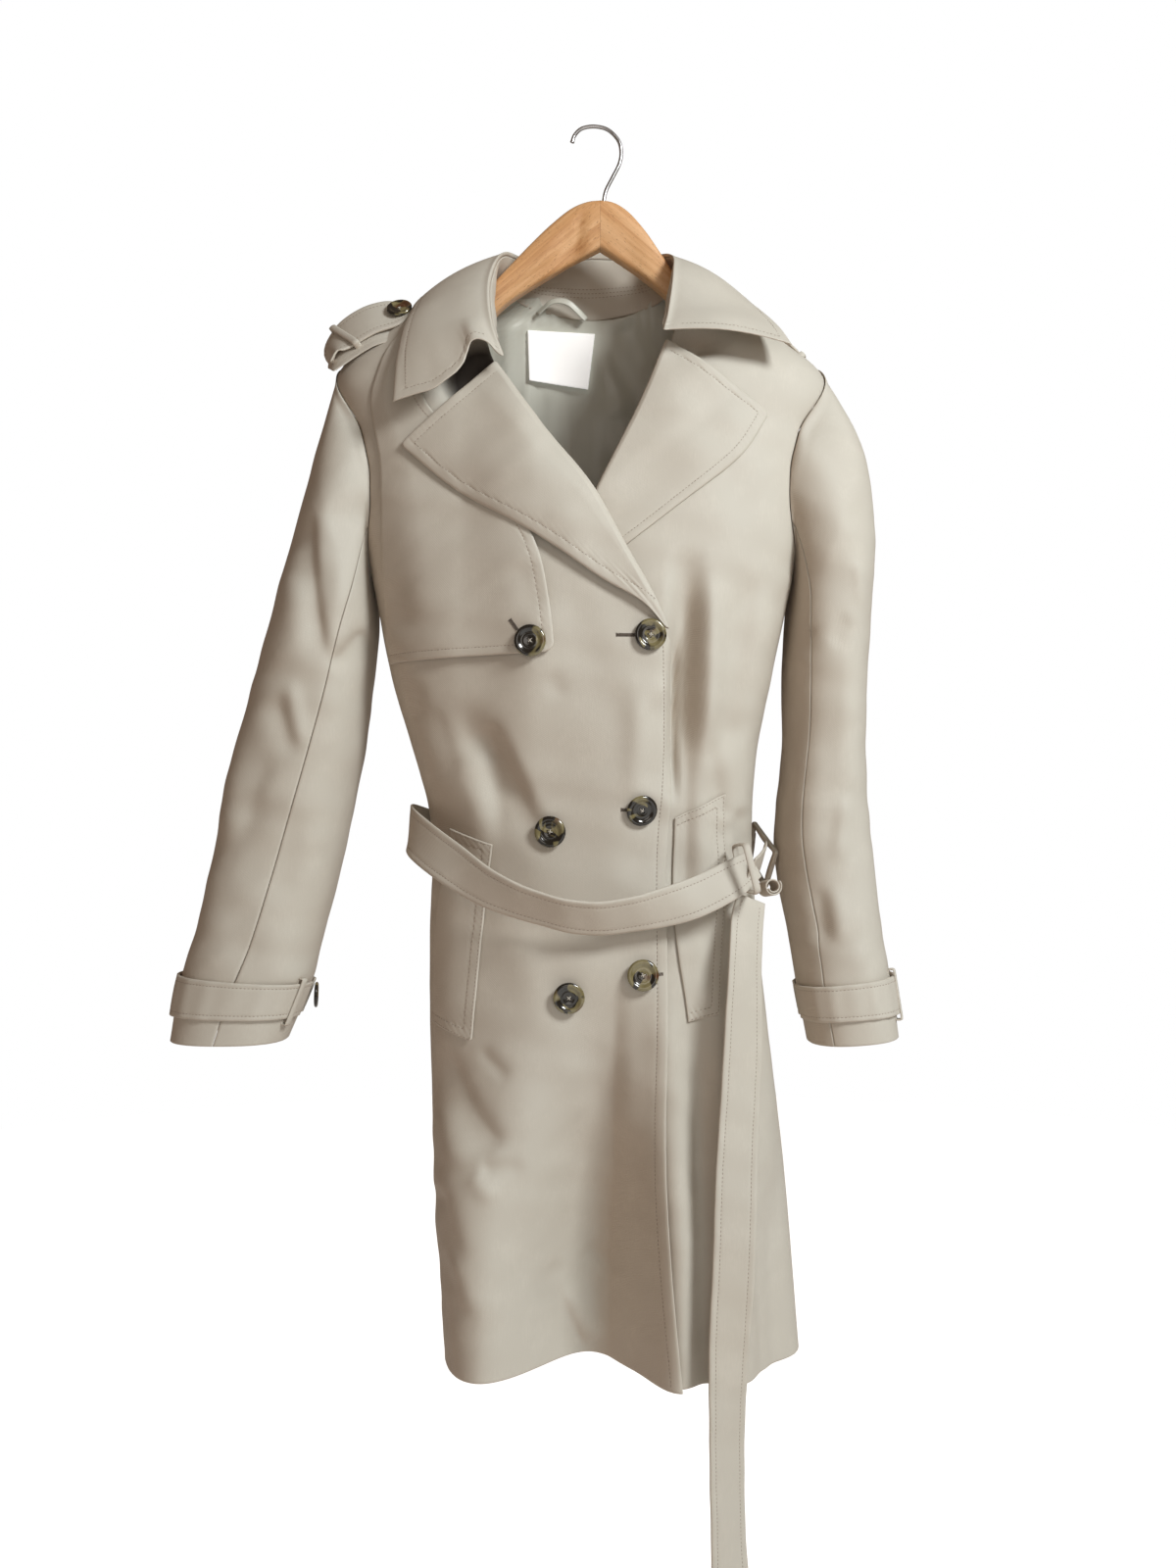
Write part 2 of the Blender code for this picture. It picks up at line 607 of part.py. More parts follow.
STRAP_LINE = "s x y z across_x across_y across_z half_width"
EPAULETTE_RIGHT = Table(
    STRAP_LINE,
    [
        (0.00, -0.2420, -0.0230, -0.2290, 0.10, 1.0, 0.30, 0.0200),
        (0.12, -0.2460, -0.0240, -0.2200, 0.10, 1.0, 0.34, 0.0205),
        (0.30, -0.2360, -0.0250, -0.2060, 0.05, 1.0, 0.38, 0.0210),
        (0.55, -0.2120, -0.0250, -0.1890, 0.00, 1.0, 0.40, 0.0205),
        (0.80, -0.1880, -0.0240, -0.1750, 0.00, 1.0, 0.36, 0.0195),
        (1.00, -0.1720, -0.0230, -0.1680, 0.00, 1.0, 0.34, 0.0120),
    ],
)
EPAULETTE_LEFT = Table(
    STRAP_LINE,
    [
        (0.00, 0.2140, 0.0230, -0.2270, 0.10, 1.0, -0.22, 0.0200),
        (0.12, 0.2180, 0.0230, -0.2200, 0.10, 1.0, -0.26, 0.0205),
        (0.30, 0.2050, 0.0240, -0.2090, 0.05, 1.0, -0.30, 0.0210),
        (0.55, 0.1800, 0.0240, -0.1920, 0.00, 1.0, -0.32, 0.0205),
        (0.80, 0.1560, 0.0240, -0.1750, 0.00, 1.0, -0.30, 0.0195),
        (1.00, 0.1410, 0.0230, -0.1650, 0.00, 1.0, -0.28, 0.0120),
    ],
)


def strap_from(table, stations, thickness):
    s = np.linspace(0, 1, stations)
    points = np.stack([table(axis, s) for axis in "xyz"], axis=-1)
    across = read_point(table, "across", s)
    facing = np.cross(across, np.gradient(points, axis=0))
    return strap_rings(points, across, facing, table("half_width", s), thickness)


LOOP_WIDTH = 0.0065


def band_loop(name, corners, thickness=0.0014, width=LOOP_WIDTH, across=(0.0, 1.0, 0.0)):
    """A narrow closed loop of cloth through its corners."""
    corners = np.asarray(corners, float)
    middle = corners.mean(axis=0)
    across = unit(across)
    away = corners - middle
    away = unit(away - across * (away @ across)[:, None])
    rings = [
        corners - across * width / 2,
        corners + across * width / 2,
        corners + across * width / 2 + away * thickness,
        corners - across * width / 2 + away * thickness,
    ]
    loft(name, np.stack(rings, axis=1), "gabardine", closed=True)


def make_epaulettes():
    for side, word, table in ((RIGHT, "right", EPAULETTE_RIGHT), (LEFT, "left", EPAULETTE_LEFT)):
        loft(f"epaulette_{word}", strap_from(table, 11, STRAP), "gabardine")
        s = 0.30
        middle = np.array([table(axis, s) for axis in "xyz"])
        across = unit(read_point(table, "across", np.array(s)))
        along = unit(np.array([table(axis, s + 0.1) - table(axis, s - 0.02) for axis in "xyz"]))
        facing = unit(np.cross(across, along)) * (1 if side == LEFT else -1)
        facing = facing * np.sign(facing[2])
        half, up, down = table("half_width", s) + 0.0012, 0.0022, -0.0048
        corners = [
            middle + across * a * half + facing * b for a, b in ((-1, down), (-1, up), (1, up), (1, down))
        ]
        band_loop(f"epaulette_loop_{word}", corners, across=along)


CUFF_STRAP = (0.862, 0.945)  # shares of the way down the sleeve


def make_cuffs():
    for side, word in ((RIGHT, "right"), (LEFT, "left")):
        theta = np.radians(np.linspace(-168, 172, 25))[:, None]
        v = np.linspace(*CUFF_STRAP, 2)[None, :]
        lift = 0.0012 + 0.0 * theta
        outer = sleeve_point(side, theta, v, lift + STRAP)
        inner = sleeve_point(side, theta, v, lift)
        shell(f"cuff_strap_{word}", outer, inner)
        centre = math.radians(150 if side == RIGHT else 22)
        v_low, v_high = v[0, 0] - 0.012, v[0, 1] + 0.012
        near, far = 0.0006, 0.0046
        path = [(v_low, near), (v_low, far), (v_high, far), (v_high, near)]
        corners = np.stack([sleeve_point(side, centre, a, b) for a, b in path])
        tangent = sleeve_point(side, centre + 0.05, 0.9) - sleeve_point(side, centre - 0.05, 0.9)
        band_loop(f"cuff_loop_{word}", corners, across=tangent, thickness=0.0012)


# ---- Belt ----------------------------------------------------------------------------------------

# Middle line of the slack belt, from its keeper at the left round the front, the right side and the back.
BELT_LINE = Table(
    "s x y z across_x across_y across_z half_width",
    [
        (0.00, 0.1420, -0.0860, -0.6930, -0.10, 0.20, 1.0, 0.0130),
        (0.05, 0.1220, -0.1010, -0.7050, -0.15, 0.30, 1.0, 0.0165),
        (0.10, 0.0900, -0.1130, -0.7200, -0.10, 0.50, 1.0, 0.0185),
        (0.17, 0.0420, -0.1230, -0.7330, 0.00, 0.90, 1.0, 0.0190),
        (0.24, -0.0050, -0.1290, -0.7380, 0.00, 1.30, 1.0, 0.0190),
        (0.31, -0.0500, -0.1280, -0.7290, 0.00, 1.20, 1.0, 0.0190),
        (0.37, -0.0950, -0.1180, -0.7120, 0.10, 0.90, 1.0, 0.0190),
        (0.42, -0.1330, -0.0960, -0.6890, 0.30, 0.50, 1.0, 0.0190),
        (0.47, -0.1620, -0.0620, -0.6700, 0.25, 0.20, 1.0, 0.0190),
        (0.52, -0.1720, -0.0200, -0.6600, 0.05, 0.00, 1.0, 0.0190),
        (0.57, -0.1640, 0.0180, -0.6640, 0.00, -0.10, 1.0, 0.0190),
        (0.63, -0.1370, 0.0620, -0.6780, -0.05, -0.20, 1.0, 0.0190),
        (0.70, -0.0850, 0.0760, -0.6930, 0.00, -0.20, 1.0, 0.0190),
        (0.78, 0.0000, 0.0820, -0.7000, 0.00, -0.20, 1.0, 0.0190),
        (0.87, 0.0880, 0.0760, -0.6930, 0.00, -0.20, 1.0, 0.0190),
        (0.94, 0.1360, 0.0560, -0.6830, 0.10, -0.15, 1.0, 0.0190),
        (1.00, 0.1530, 0.0260, -0.6860, 0.10, 0.00, 1.0, 0.0170),
    ],
)
BELT_TAIL = Table(
    "s x y z across_x across_y across_z half_width",
    [
        (0.00, 0.1390, -0.0850, -0.7240, 1.0, 0.55, -0.15, 0.0150),
        (0.04, 0.1350, -0.0920, -0.7420, 1.0, 0.50, -0.15, 0.0165),
        (0.10, 0.1320, -0.1040, -0.7720, 1.0, 0.60, -0.10, 0.0180),
        (0.20, 0.1290, -0.1110, -0.8500, 1.0, 0.45, 0.00, 0.0190),
        (0.35, 0.1230, -0.1200, -0.9500, 1.0, 0.25, 0.00, 0.0190),
        (0.50, 0.1195, -0.1260, -1.0400, 1.0, 0.15, 0.00, 0.0190),
        (0.65, 0.1150, -0.1240, -1.1300, 1.0, 0.40, 0.00, 0.0190),
        (0.80, 0.1150, -0.1130, -1.2300, 1.0, 0.70, 0.00, 0.0190),
        (0.92, 0.1180, -0.1060, -1.3200, 1.0, 0.45, 0.00, 0.0190),
        (0.96, 0.1195, -0.1050, -1.3560, 1.0, 0.20, 0.00, 0.0190),
        (1.00, 0.1200, -0.1050, -1.3860, 1.0, 0.10, 0.00, 0.0040),
    ],
)
BUCKLE_CORNERS = [
    (0.1525, 0.0120, -0.6570),
    (0.1695, -0.0300, -0.6850),
    (0.1615, -0.0090, -0.7210),
    (0.1445, 0.0330, -0.6930),
]
KEEPER_CORNERS = [
    (0.1330, -0.0780, -0.7165),
    (0.1250, -0.0790, -0.6770),
    (0.1310, -0.1160, -0.6750),
    (0.1410, -0.1200, -0.7165),
]
BELT_LOOP_CORNERS = [
    (-0.1300, 0.0500, -0.7060),
    (-0.1300, 0.0500, -0.6480),
    (-0.1520, 0.0720, -0.6500),
    (-0.1520, 0.0720, -0.7100),
]
ROLL_START = (0.1700, -0.0640, -0.7130)
ROLL_END = (0.1560, -0.0460, -0.7220)
ROLL_RADIUS = 0.0088


def make_belt():
    loft("belt_round", strap_from(BELT_LINE, 37, STRAP), "gabardine")
    loft("belt_tail", strap_from(BELT_TAIL, 22, STRAP), "gabardine")
    corners = np.asarray(BUCKLE_CORNERS)
    middle = corners.mean(axis=0)
    plane = unit(np.cross(corners[1] - corners[0], corners[2] - corners[1]))
    inside = middle + (corners - middle) * 0.84
    thick = plane * 0.0016
    rings = np.stack([corners - thick, corners + thick, inside + thick, inside - thick], axis=1)
    loft("belt_buckle", rings, "gabardine", closed=True)
    start, end = np.array(ROLL_START), np.array(ROLL_END)
    axis = unit(end - start)
    one = unit(np.cross(axis, (0.0, 0.0, 1.0)))
    two = np.cross(axis, one)
    turn = np.radians(np.linspace(0, 340, 18))[None, :, None]
    ring = one * np.cos(turn) + two * np.sin(turn)
    line = np.stack([start, end])[:, None, :]
    shell("belt_roll", line + ring * ROLL_RADIUS, line + ring * (ROLL_RADIUS - STRAP))
    band_loop("belt_keeper", KEEPER_CORNERS, across=(0.9, 0.3, 0.35))
    for side, word in ((RIGHT, "right"), (LEFT, "left")):
        corners = np.array(BELT_LOOP_CORNERS) * np.array([-side, 1.0, 1.0])
        band_loop(f"belt_loop_{word}", corners, across=(side * 0.5, 1.0, 0.0))


# ---- Lining, label and hanging loop --------------------------------------------------------------


LINING_LIFT = -0.0065
LINING_ROWS = [-0.1730, -0.1850, -0.2080, SHOULDER_Z, -0.2700, -0.3500, -0.4300, -0.5200, -0.6000]
LABEL = Table(
    PATCH,
    [
        (0.0, -0.0662, -0.1760, 0.0002, -0.1800),
        (1.0, -0.0643, -0.2250, -0.0065, -0.2337),
    ],
)
HANG_LOOP = [
    (-0.042, 0.0375, -0.1650),
    (-0.032, 0.0340, -0.1540),
    (-0.020, 0.0330, -0.1500),
    (-0.010, 0.0375, -0.1640),
]


def make_inside():
    share = np.linspace(0, 1, 13)[None, :]
    z = np.broadcast_to(np.array(LINING_ROWS)[:, None], (len(LINING_ROWS), 13))
    start = np.maximum(seam_angle(BACK, RIGHT, z), 0.42)
    stop = np.minimum(seam_angle(BACK, LEFT, z), math.pi - 0.42)
    angle = start + (stop - start) * share
    body_wall("lining_back", BACK, angle, z, LINING_LIFT + 0 * z, LINING, "satin")
    x, z, _, _ = patch(LABEL, 3, 4)
    lift = LINING_LIFT - LINING - 0.0012 + 0 * x
    shell("label", on_body(BACK, x, z, lift), on_body(BACK, x, z, lift - 0.0008), "label_white")
    line = np.array(HANG_LOOP)
    facing = np.array([0.0, -1.0, 0.0])
    across = np.cross(np.gradient(line, axis=0), facing)
    rings = strap_rings(line, across, np.broadcast_to(facing, line.shape), np.full(4, 0.0024), 0.0012)
    loft("hang_loop", rings, "gabardine")


# ---- Buttons -------------------------------------------------------------------------------------

BUTTON_PROFILE = [
    (0.0000, 0.0022),
    (0.0088, 0.0022),
    (0.0112, 0.0040),
    (0.0140, 0.0026),
    (0.0120, 0.0000),
    (0.0000, 0.0000),
]
FRONT_BUTTONS = Table(
    "number x z lift",
    [
        (1, 0.0469, -0.4917, 0.0130),
        (2, 0.0400, -0.6444, 0.0100),
        (3, 0.0410, -0.7908, 0.0105),
        (4, -0.0392, -0.6631, 0.0100),
        (5, -0.0232, -0.8103, 0.0105),
    ],
)


def button(name, place, facing, scale=1.0):
    facing = unit(facing)
    one = unit(np.cross(facing, (0.31, 0.0, 0.95)))
    two = np.cross(facing, one)
    place = np.asarray(place, float)
    steps = 12
    turn = [2 * math.pi * k / steps for k in range(steps)]
    points = [place + facing * BUTTON_PROFILE[0][1] * scale]
    for radius, height in BUTTON_PROFILE[1:-1]:
        for angle in turn:
            spoke = one * math.cos(angle) + two * math.sin(angle)
            points.append(place + facing * height * scale + spoke * radius * scale)
    points.append(place)
    last = len(points) - 1
    rings = len(BUTTON_PROFILE) - 2
    faces = []
    for j in range(steps):
        k = (j + 1) % steps
        faces.append((0, 1 + j, 1 + k))
        faces.append((last, 1 + (rings - 1) * steps + k, 1 + (rings - 1) * steps + j))
        for i in range(rings - 1):
            a, b = 1 + i * steps, 1 + (i + 1) * steps
            faces.append((a + j, b + j, b + k, a + k))
    new_object(name, points, faces, "horn")


def surface_facing(face, x, z, lift):
    """Point and outward direction of the body's surface there, read over the width of a button."""
    reach = 0.010
    point = on_body(face, x, z, lift)
    across = on_body(face, x + reach, z, lift) - on_body(face, x - reach, z, lift)
    upward = on_body(face, x, z + reach, lift) - on_body(face, x, z - reach, lift)
    return point, np.cross(across, upward) * -face


def make_buttons():
    for number in range(1, 6):
        x, z, lift = [FRONT_BUTTONS(column, number) for column in ("x", "z", "lift")]
        button(f"button_front_{number}", *surface_facing(FRONT, x, z, lift))
    button("button_flap", *surface_facing(FRONT, -0.0560, -0.4974, 0.0178))
    for side, word, table in ((RIGHT, "right", EPAULETTE_RIGHT), (LEFT, "left", EPAULETTE_LEFT)):
        s = 0.84
        middle = np.array([table(axis, s) for axis in "xyz"])
        across = read_point(table, "across", np.array(s))
        along = np.array([table(axis, s + 0.05) - table(axis, s - 0.05) for axis in "xyz"])
        facing = unit(np.cross(across, along))
        facing = facing * np.sign(facing[2])
        button(f"button_epaulette_{word}", middle + facing * 0.0020, facing, 0.86)
        theta, v = math.radians(188 if side == RIGHT else -35), 0.903
        point = sleeve_point(side, theta, v, 0.0068)
        facing = sleeve_point(side, theta, v, 0.02) - sleeve_point(side, theta, v, 0.0)
        button(f"button_cuff_{word}", point, facing, 0.86)


# ---- Hanger --------------------------------------------------------------------------------------

HANGER = Table(
    "x top bottom half_thick y",
    [
        (-0.2140, -0.2330, -0.2600, 0.0150, -0.0030),
        (-0.1900, -0.2190, -0.2500, 0.0140, -0.0020),
        (-0.1500, -0.1930, -0.2270, 0.0120, 0.0000),
        (-0.1100, -0.1680, -0.1970, 0.0105, 0.0000),
        (-0.0850, -0.1430, -0.1730, 0.0105, 0.0000),
        (-0.0600, -0.1190, -0.1510, 0.0110, 0.0000),
        (-0.0300, -0.0915, -0.1300, 0.0115, 0.0000),
        (-0.0100, -0.0750, -0.1175, 0.0120, 0.0000),
        (0.0050, -0.0707, -0.1120, 0.0120, 0.0000),
        (0.0200, -0.0750, -0.1200, 0.0120, 0.0000),
        (0.0450, -0.0960, -0.1400, 0.0115, 0.0000),
        (0.0680, -0.1265, -0.1610, 0.0105, 0.0000),
        (0.0900, -0.1560, -0.1870, 0.0105, 0.0000),
        (0.1300, -0.1880, -0.2180, 0.0120, 0.0000),
        (0.1650, -0.2160, -0.2460, 0.0140, -0.0020),
        (0.1880, -0.2330, -0.2590, 0.0150, -0.0030),
    ],
)
HOOK = Table(
    "s x z",
    [
        (0.00, -0.0218, -0.0138),
        (0.10, -0.0190, -0.0060),
        (0.20, -0.0120, 0.0002),
        (0.30, 0.0000, 0.0020),
        (0.40, 0.0125, -0.0012),
        (0.50, 0.0222, -0.0110),
        (0.60, 0.0250, -0.0225),
        (0.70, 0.0230, -0.0340),
        (0.80, 0.0165, -0.0470),
        (0.90, 0.0105, -0.0590),
        (1.00, 0.0082, -0.0700),
    ],
)
HOOK_WIRE = 0.0019


def make_hanger():
    x = HANGER.rows[:, :1]
    turn = np.radians(np.arange(0, 360, 30) + 15)[None, :]
    wave, rise = np.cos(turn), np.sin(turn)
    square = 3.2
    wave = np.sign(wave) * np.abs(wave) ** (2 / square)
    rise = np.sign(rise) * np.abs(rise) ** (2 / square)
    top, bottom = HANGER("top", x), HANGER("bottom", x)
    rings = np.stack(
        [
            x + 0.0 * turn,
            HANGER("y", x) + HANGER("half_thick", x) * wave,
            (top + bottom) / 2 + (top - bottom) / 2 * rise,
        ],
        axis=-1,
    )
    loft("hanger_body", rings, "beech")
    s = np.linspace(0, 1, 21)
    line = np.stack([HOOK("x", s), 0 * s, HOOK("z", s)], axis=-1)
    along = unit(np.gradient(line, axis=0))
    side = np.array([0.0, 1.0, 0.0])
    out = np.cross(along, side)
    radius = np.where(s < 0.03, 0.0012, HOOK_WIRE)[:, None, None]
    turn = np.radians(np.arange(0, 360, 60))[None, :, None]
    rings = line[:, None, :] + radius * (np.cos(turn) * side + np.sin(turn) * out[:, None, :])
    loft("hanger_hook", rings, "chrome")


def main():
    for obj in list(bpy.data.objects):
        bpy.data.objects.remove(obj)
    material("gabardine", (0.47, 0.43, 0.36), 0.62)
    material("satin", (0.36, 0.37, 0.31), 0.35)
    material("label_white", (0.80, 0.80, 0.78), 0.55)
    material("horn", (0.09, 0.07, 0.03), 0.15)
    material("beech", (0.66, 0.36, 0.16), 0.45)
    material("chrome", (0.80, 0.81, 0.82), 0.12, 1.0)
    make_body()
    make_laid_pieces()
    make_collar()
    make_sleeves()
    make_epaulettes()
    make_cuffs()
    make_belt()
    make_inside()
    make_buttons()
    make_hanger()


main()
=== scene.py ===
"""Looks of a double-breasted trench coat on a wooden hanger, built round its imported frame.

Metres, +Z up, the coat's front towards -Y and the wearer's right at -X. Each piece of cloth is a thin wall between
an outer and an inner face that are both read from the same surface, so that neighbours never cross.
"""

import math

import bmesh
import bpy
import numpy as np
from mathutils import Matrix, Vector


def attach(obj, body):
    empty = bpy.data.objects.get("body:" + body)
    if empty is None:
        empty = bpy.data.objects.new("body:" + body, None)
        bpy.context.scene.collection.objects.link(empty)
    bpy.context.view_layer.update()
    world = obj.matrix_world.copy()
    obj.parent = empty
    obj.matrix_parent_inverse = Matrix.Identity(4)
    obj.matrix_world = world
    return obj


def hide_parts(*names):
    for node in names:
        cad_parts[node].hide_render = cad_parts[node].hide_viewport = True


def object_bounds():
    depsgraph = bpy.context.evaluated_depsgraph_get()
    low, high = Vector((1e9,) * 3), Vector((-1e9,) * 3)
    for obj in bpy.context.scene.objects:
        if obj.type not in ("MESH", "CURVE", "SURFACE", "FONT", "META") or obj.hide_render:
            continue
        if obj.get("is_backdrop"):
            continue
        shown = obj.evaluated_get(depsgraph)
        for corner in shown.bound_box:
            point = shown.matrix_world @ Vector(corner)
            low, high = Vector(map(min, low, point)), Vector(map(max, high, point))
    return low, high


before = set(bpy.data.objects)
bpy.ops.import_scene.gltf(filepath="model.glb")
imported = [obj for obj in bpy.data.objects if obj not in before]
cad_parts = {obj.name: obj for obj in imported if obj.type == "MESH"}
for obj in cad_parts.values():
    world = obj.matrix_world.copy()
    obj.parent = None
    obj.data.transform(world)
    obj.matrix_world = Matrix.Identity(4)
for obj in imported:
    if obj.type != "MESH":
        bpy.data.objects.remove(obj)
CAD_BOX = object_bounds()

# ---- Driving sizes --------------------------------------------------------------------------------

CLOTH = 0.0020  # body and sleeves, two layers at their edges
STRAP = 0.0026  # belt, epaulettes and cuff straps
LINING = 0.0010
SEAM_GAP = 0.0004
TURN = 0.3  # share of the thickness by which each rim is rounded over
MESH = 0.0036  # spacing of the points on the large panels
FINE = 0.0022  # and on the small pieces
BROAD = 0.0062  # on the back, where only broad folds run
SLEEVE_MESH = (0.0040, 0.0038)  # down a sleeve and round it
LINING_MESH = (0.0048, 0.0040)  # down the lining and across it
LAID_MESH = {"storm_shield": BROAD, "gun_flap_right": 0.0028}

NECK_Z = -0.1445
SHOULDER_Z = -0.2310
ARMPIT_Z = -0.4300
HEM_Z = -1.1500
BREAK_Z = -0.4850  # where the lapels start to turn
BACK_NECK_Z = -0.1680
FLAP_Z = -0.5120
SHIELD_Z = -0.4780

ROUND = 2.8  # power of the body's rounded-square sections
ARMHOLE_REACH = math.radians(31)
SEAM_ROW = 0.0090  # how far in from an edge its row of stitches runs

FRONT, BACK = -1.0, 1.0
RIGHT, LEFT = -1.0, 1.0
SIDES = ((RIGHT, "right"), (LEFT, "left"))


# ---- Tables with named columns, read between their rows by a smooth curve -------------------------


def smooth_curve(keys, values, key):
    """Cubic curve through values at rising keys; each slope is taken from the two neighbours."""
    keys = np.asarray(keys, float)
    values = np.asarray(values, float)
    slopes = np.gradient(values, keys, axis=0)
    key = np.clip(np.asarray(key, float), keys[0], keys[-1])
    i = np.clip(np.searchsorted(keys, key, side="right") - 1, 0, len(keys) - 2)
    span = keys[i + 1] - keys[i]
    t = (key - keys[i]) / span
    return (
        (1 + 2 * t) * (1 - t) ** 2 * values[i]
        + t * (1 - t) ** 2 * span * slopes[i]
        + t * t * (3 - 2 * t) * values[i + 1]
        + t * t * (t - 1) * span * slopes[i + 1]
    )


def smooth_step(value):
    value = np.clip(value, 0.0, 1.0)
    return value * value * (3 - 2 * value)


class Table:
    """Rows of named columns. The first column is the key that the others are read by."""

    def __init__(self, columns, rows):
        self.names = columns.split()
        self.rows = np.array(sorted(map(list, rows)), float)

    def __call__(self, column, key):
        return smooth_curve(self.rows[:, 0], self.rows[:, self.names.index(column)], key)

    def point(self, start, key):
        """The three columns start_x, start_y and start_z as points."""
        return np.stack([self(f"{start}_{axis}", key) for axis in "xyz"], axis=-1)


def unit(vector):
    vector = np.asarray(vector, float)
    return vector / np.maximum(np.linalg.norm(vector, axis=-1, keepdims=True), 1e-12)


# ---- The body's form ------------------------------------------------------------------------------

BODY = Table("z right left front back", [
    (-0.128, -0.074, 0.066, 0.030, 0.048),
    (NECK_Z, -0.100, 0.091, 0.036, 0.052),
    (-0.180, -0.172, 0.142, 0.050, 0.057),
    (-0.206, -0.213, 0.175, 0.059, 0.060),
    (SHOULDER_Z, -0.2385, 0.209, 0.067, 0.062),
    (-0.300, -0.233, 0.206, 0.082, 0.069),
    (-0.360, -0.224, 0.197, 0.092, 0.073),
    (ARMPIT_Z, -0.209, 0.185, 0.099, 0.075),
    (-0.530, -0.189, 0.164, 0.101, 0.072),
    (-0.600, -0.168, 0.151, 0.096, 0.066),
    (-0.640, -0.157, 0.148, 0.092, 0.062),
    (-0.690, -0.153, 0.148, 0.089, 0.060),
    (-0.750, -0.155, 0.152, 0.092, 0.066),
    (-0.840, -0.155, 0.161, 0.097, 0.075),
    (-0.980, -0.149, 0.178, 0.099, 0.085),
    (HEM_Z, -0.141, 0.192, 0.100, 0.094),
])

# The largest folds of the body, which its solids have too. A positive height is a ridge.
# face, x and z of the top, x and z of the bottom, half width, height, fade at the top and at the bottom
BODY_FOLDS = [
    (FRONT, -0.120, -0.860, -0.105, -1.150, 0.050, 0.022, 0.60, 0.00),
    (FRONT, 0.006, -0.790, -0.010, -1.150, 0.088, -0.076, 0.80, 0.00),
    (FRONT, 0.060, -0.900, 0.084, -1.150, 0.050, 0.014, 0.60, 0.00),
    (FRONT, 0.110, -0.760, 0.122, -1.150, 0.032, 0.016, 0.40, 0.00),
    (FRONT, 0.155, -0.900, 0.168, -1.150, 0.035, -0.014, 0.60, 0.00),
    (FRONT, -0.120, -0.540, -0.060, -0.680, 0.034, -0.008, 0.40, 0.40),
    (FRONT, 0.082, -0.400, 0.080, -0.630, 0.022, -0.016, 0.35, 0.35),
    (BACK, -0.090, -0.740, -0.095, -1.150, 0.055, 0.020, 0.60, 0.00),
    (BACK, 0.015, -0.760, 0.020, -1.150, 0.060, -0.026, 0.60, 0.00),
    (BACK, 0.120, -0.740, 0.125, -1.150, 0.055, 0.018, 0.60, 0.00),
    (BACK, -0.060, -0.500, -0.040, -0.640, 0.035, -0.008, 0.40, 0.40),
    (BACK, 0.070, -0.480, 0.050, -0.630, 0.035, -0.008, 0.40, 0.40),
]

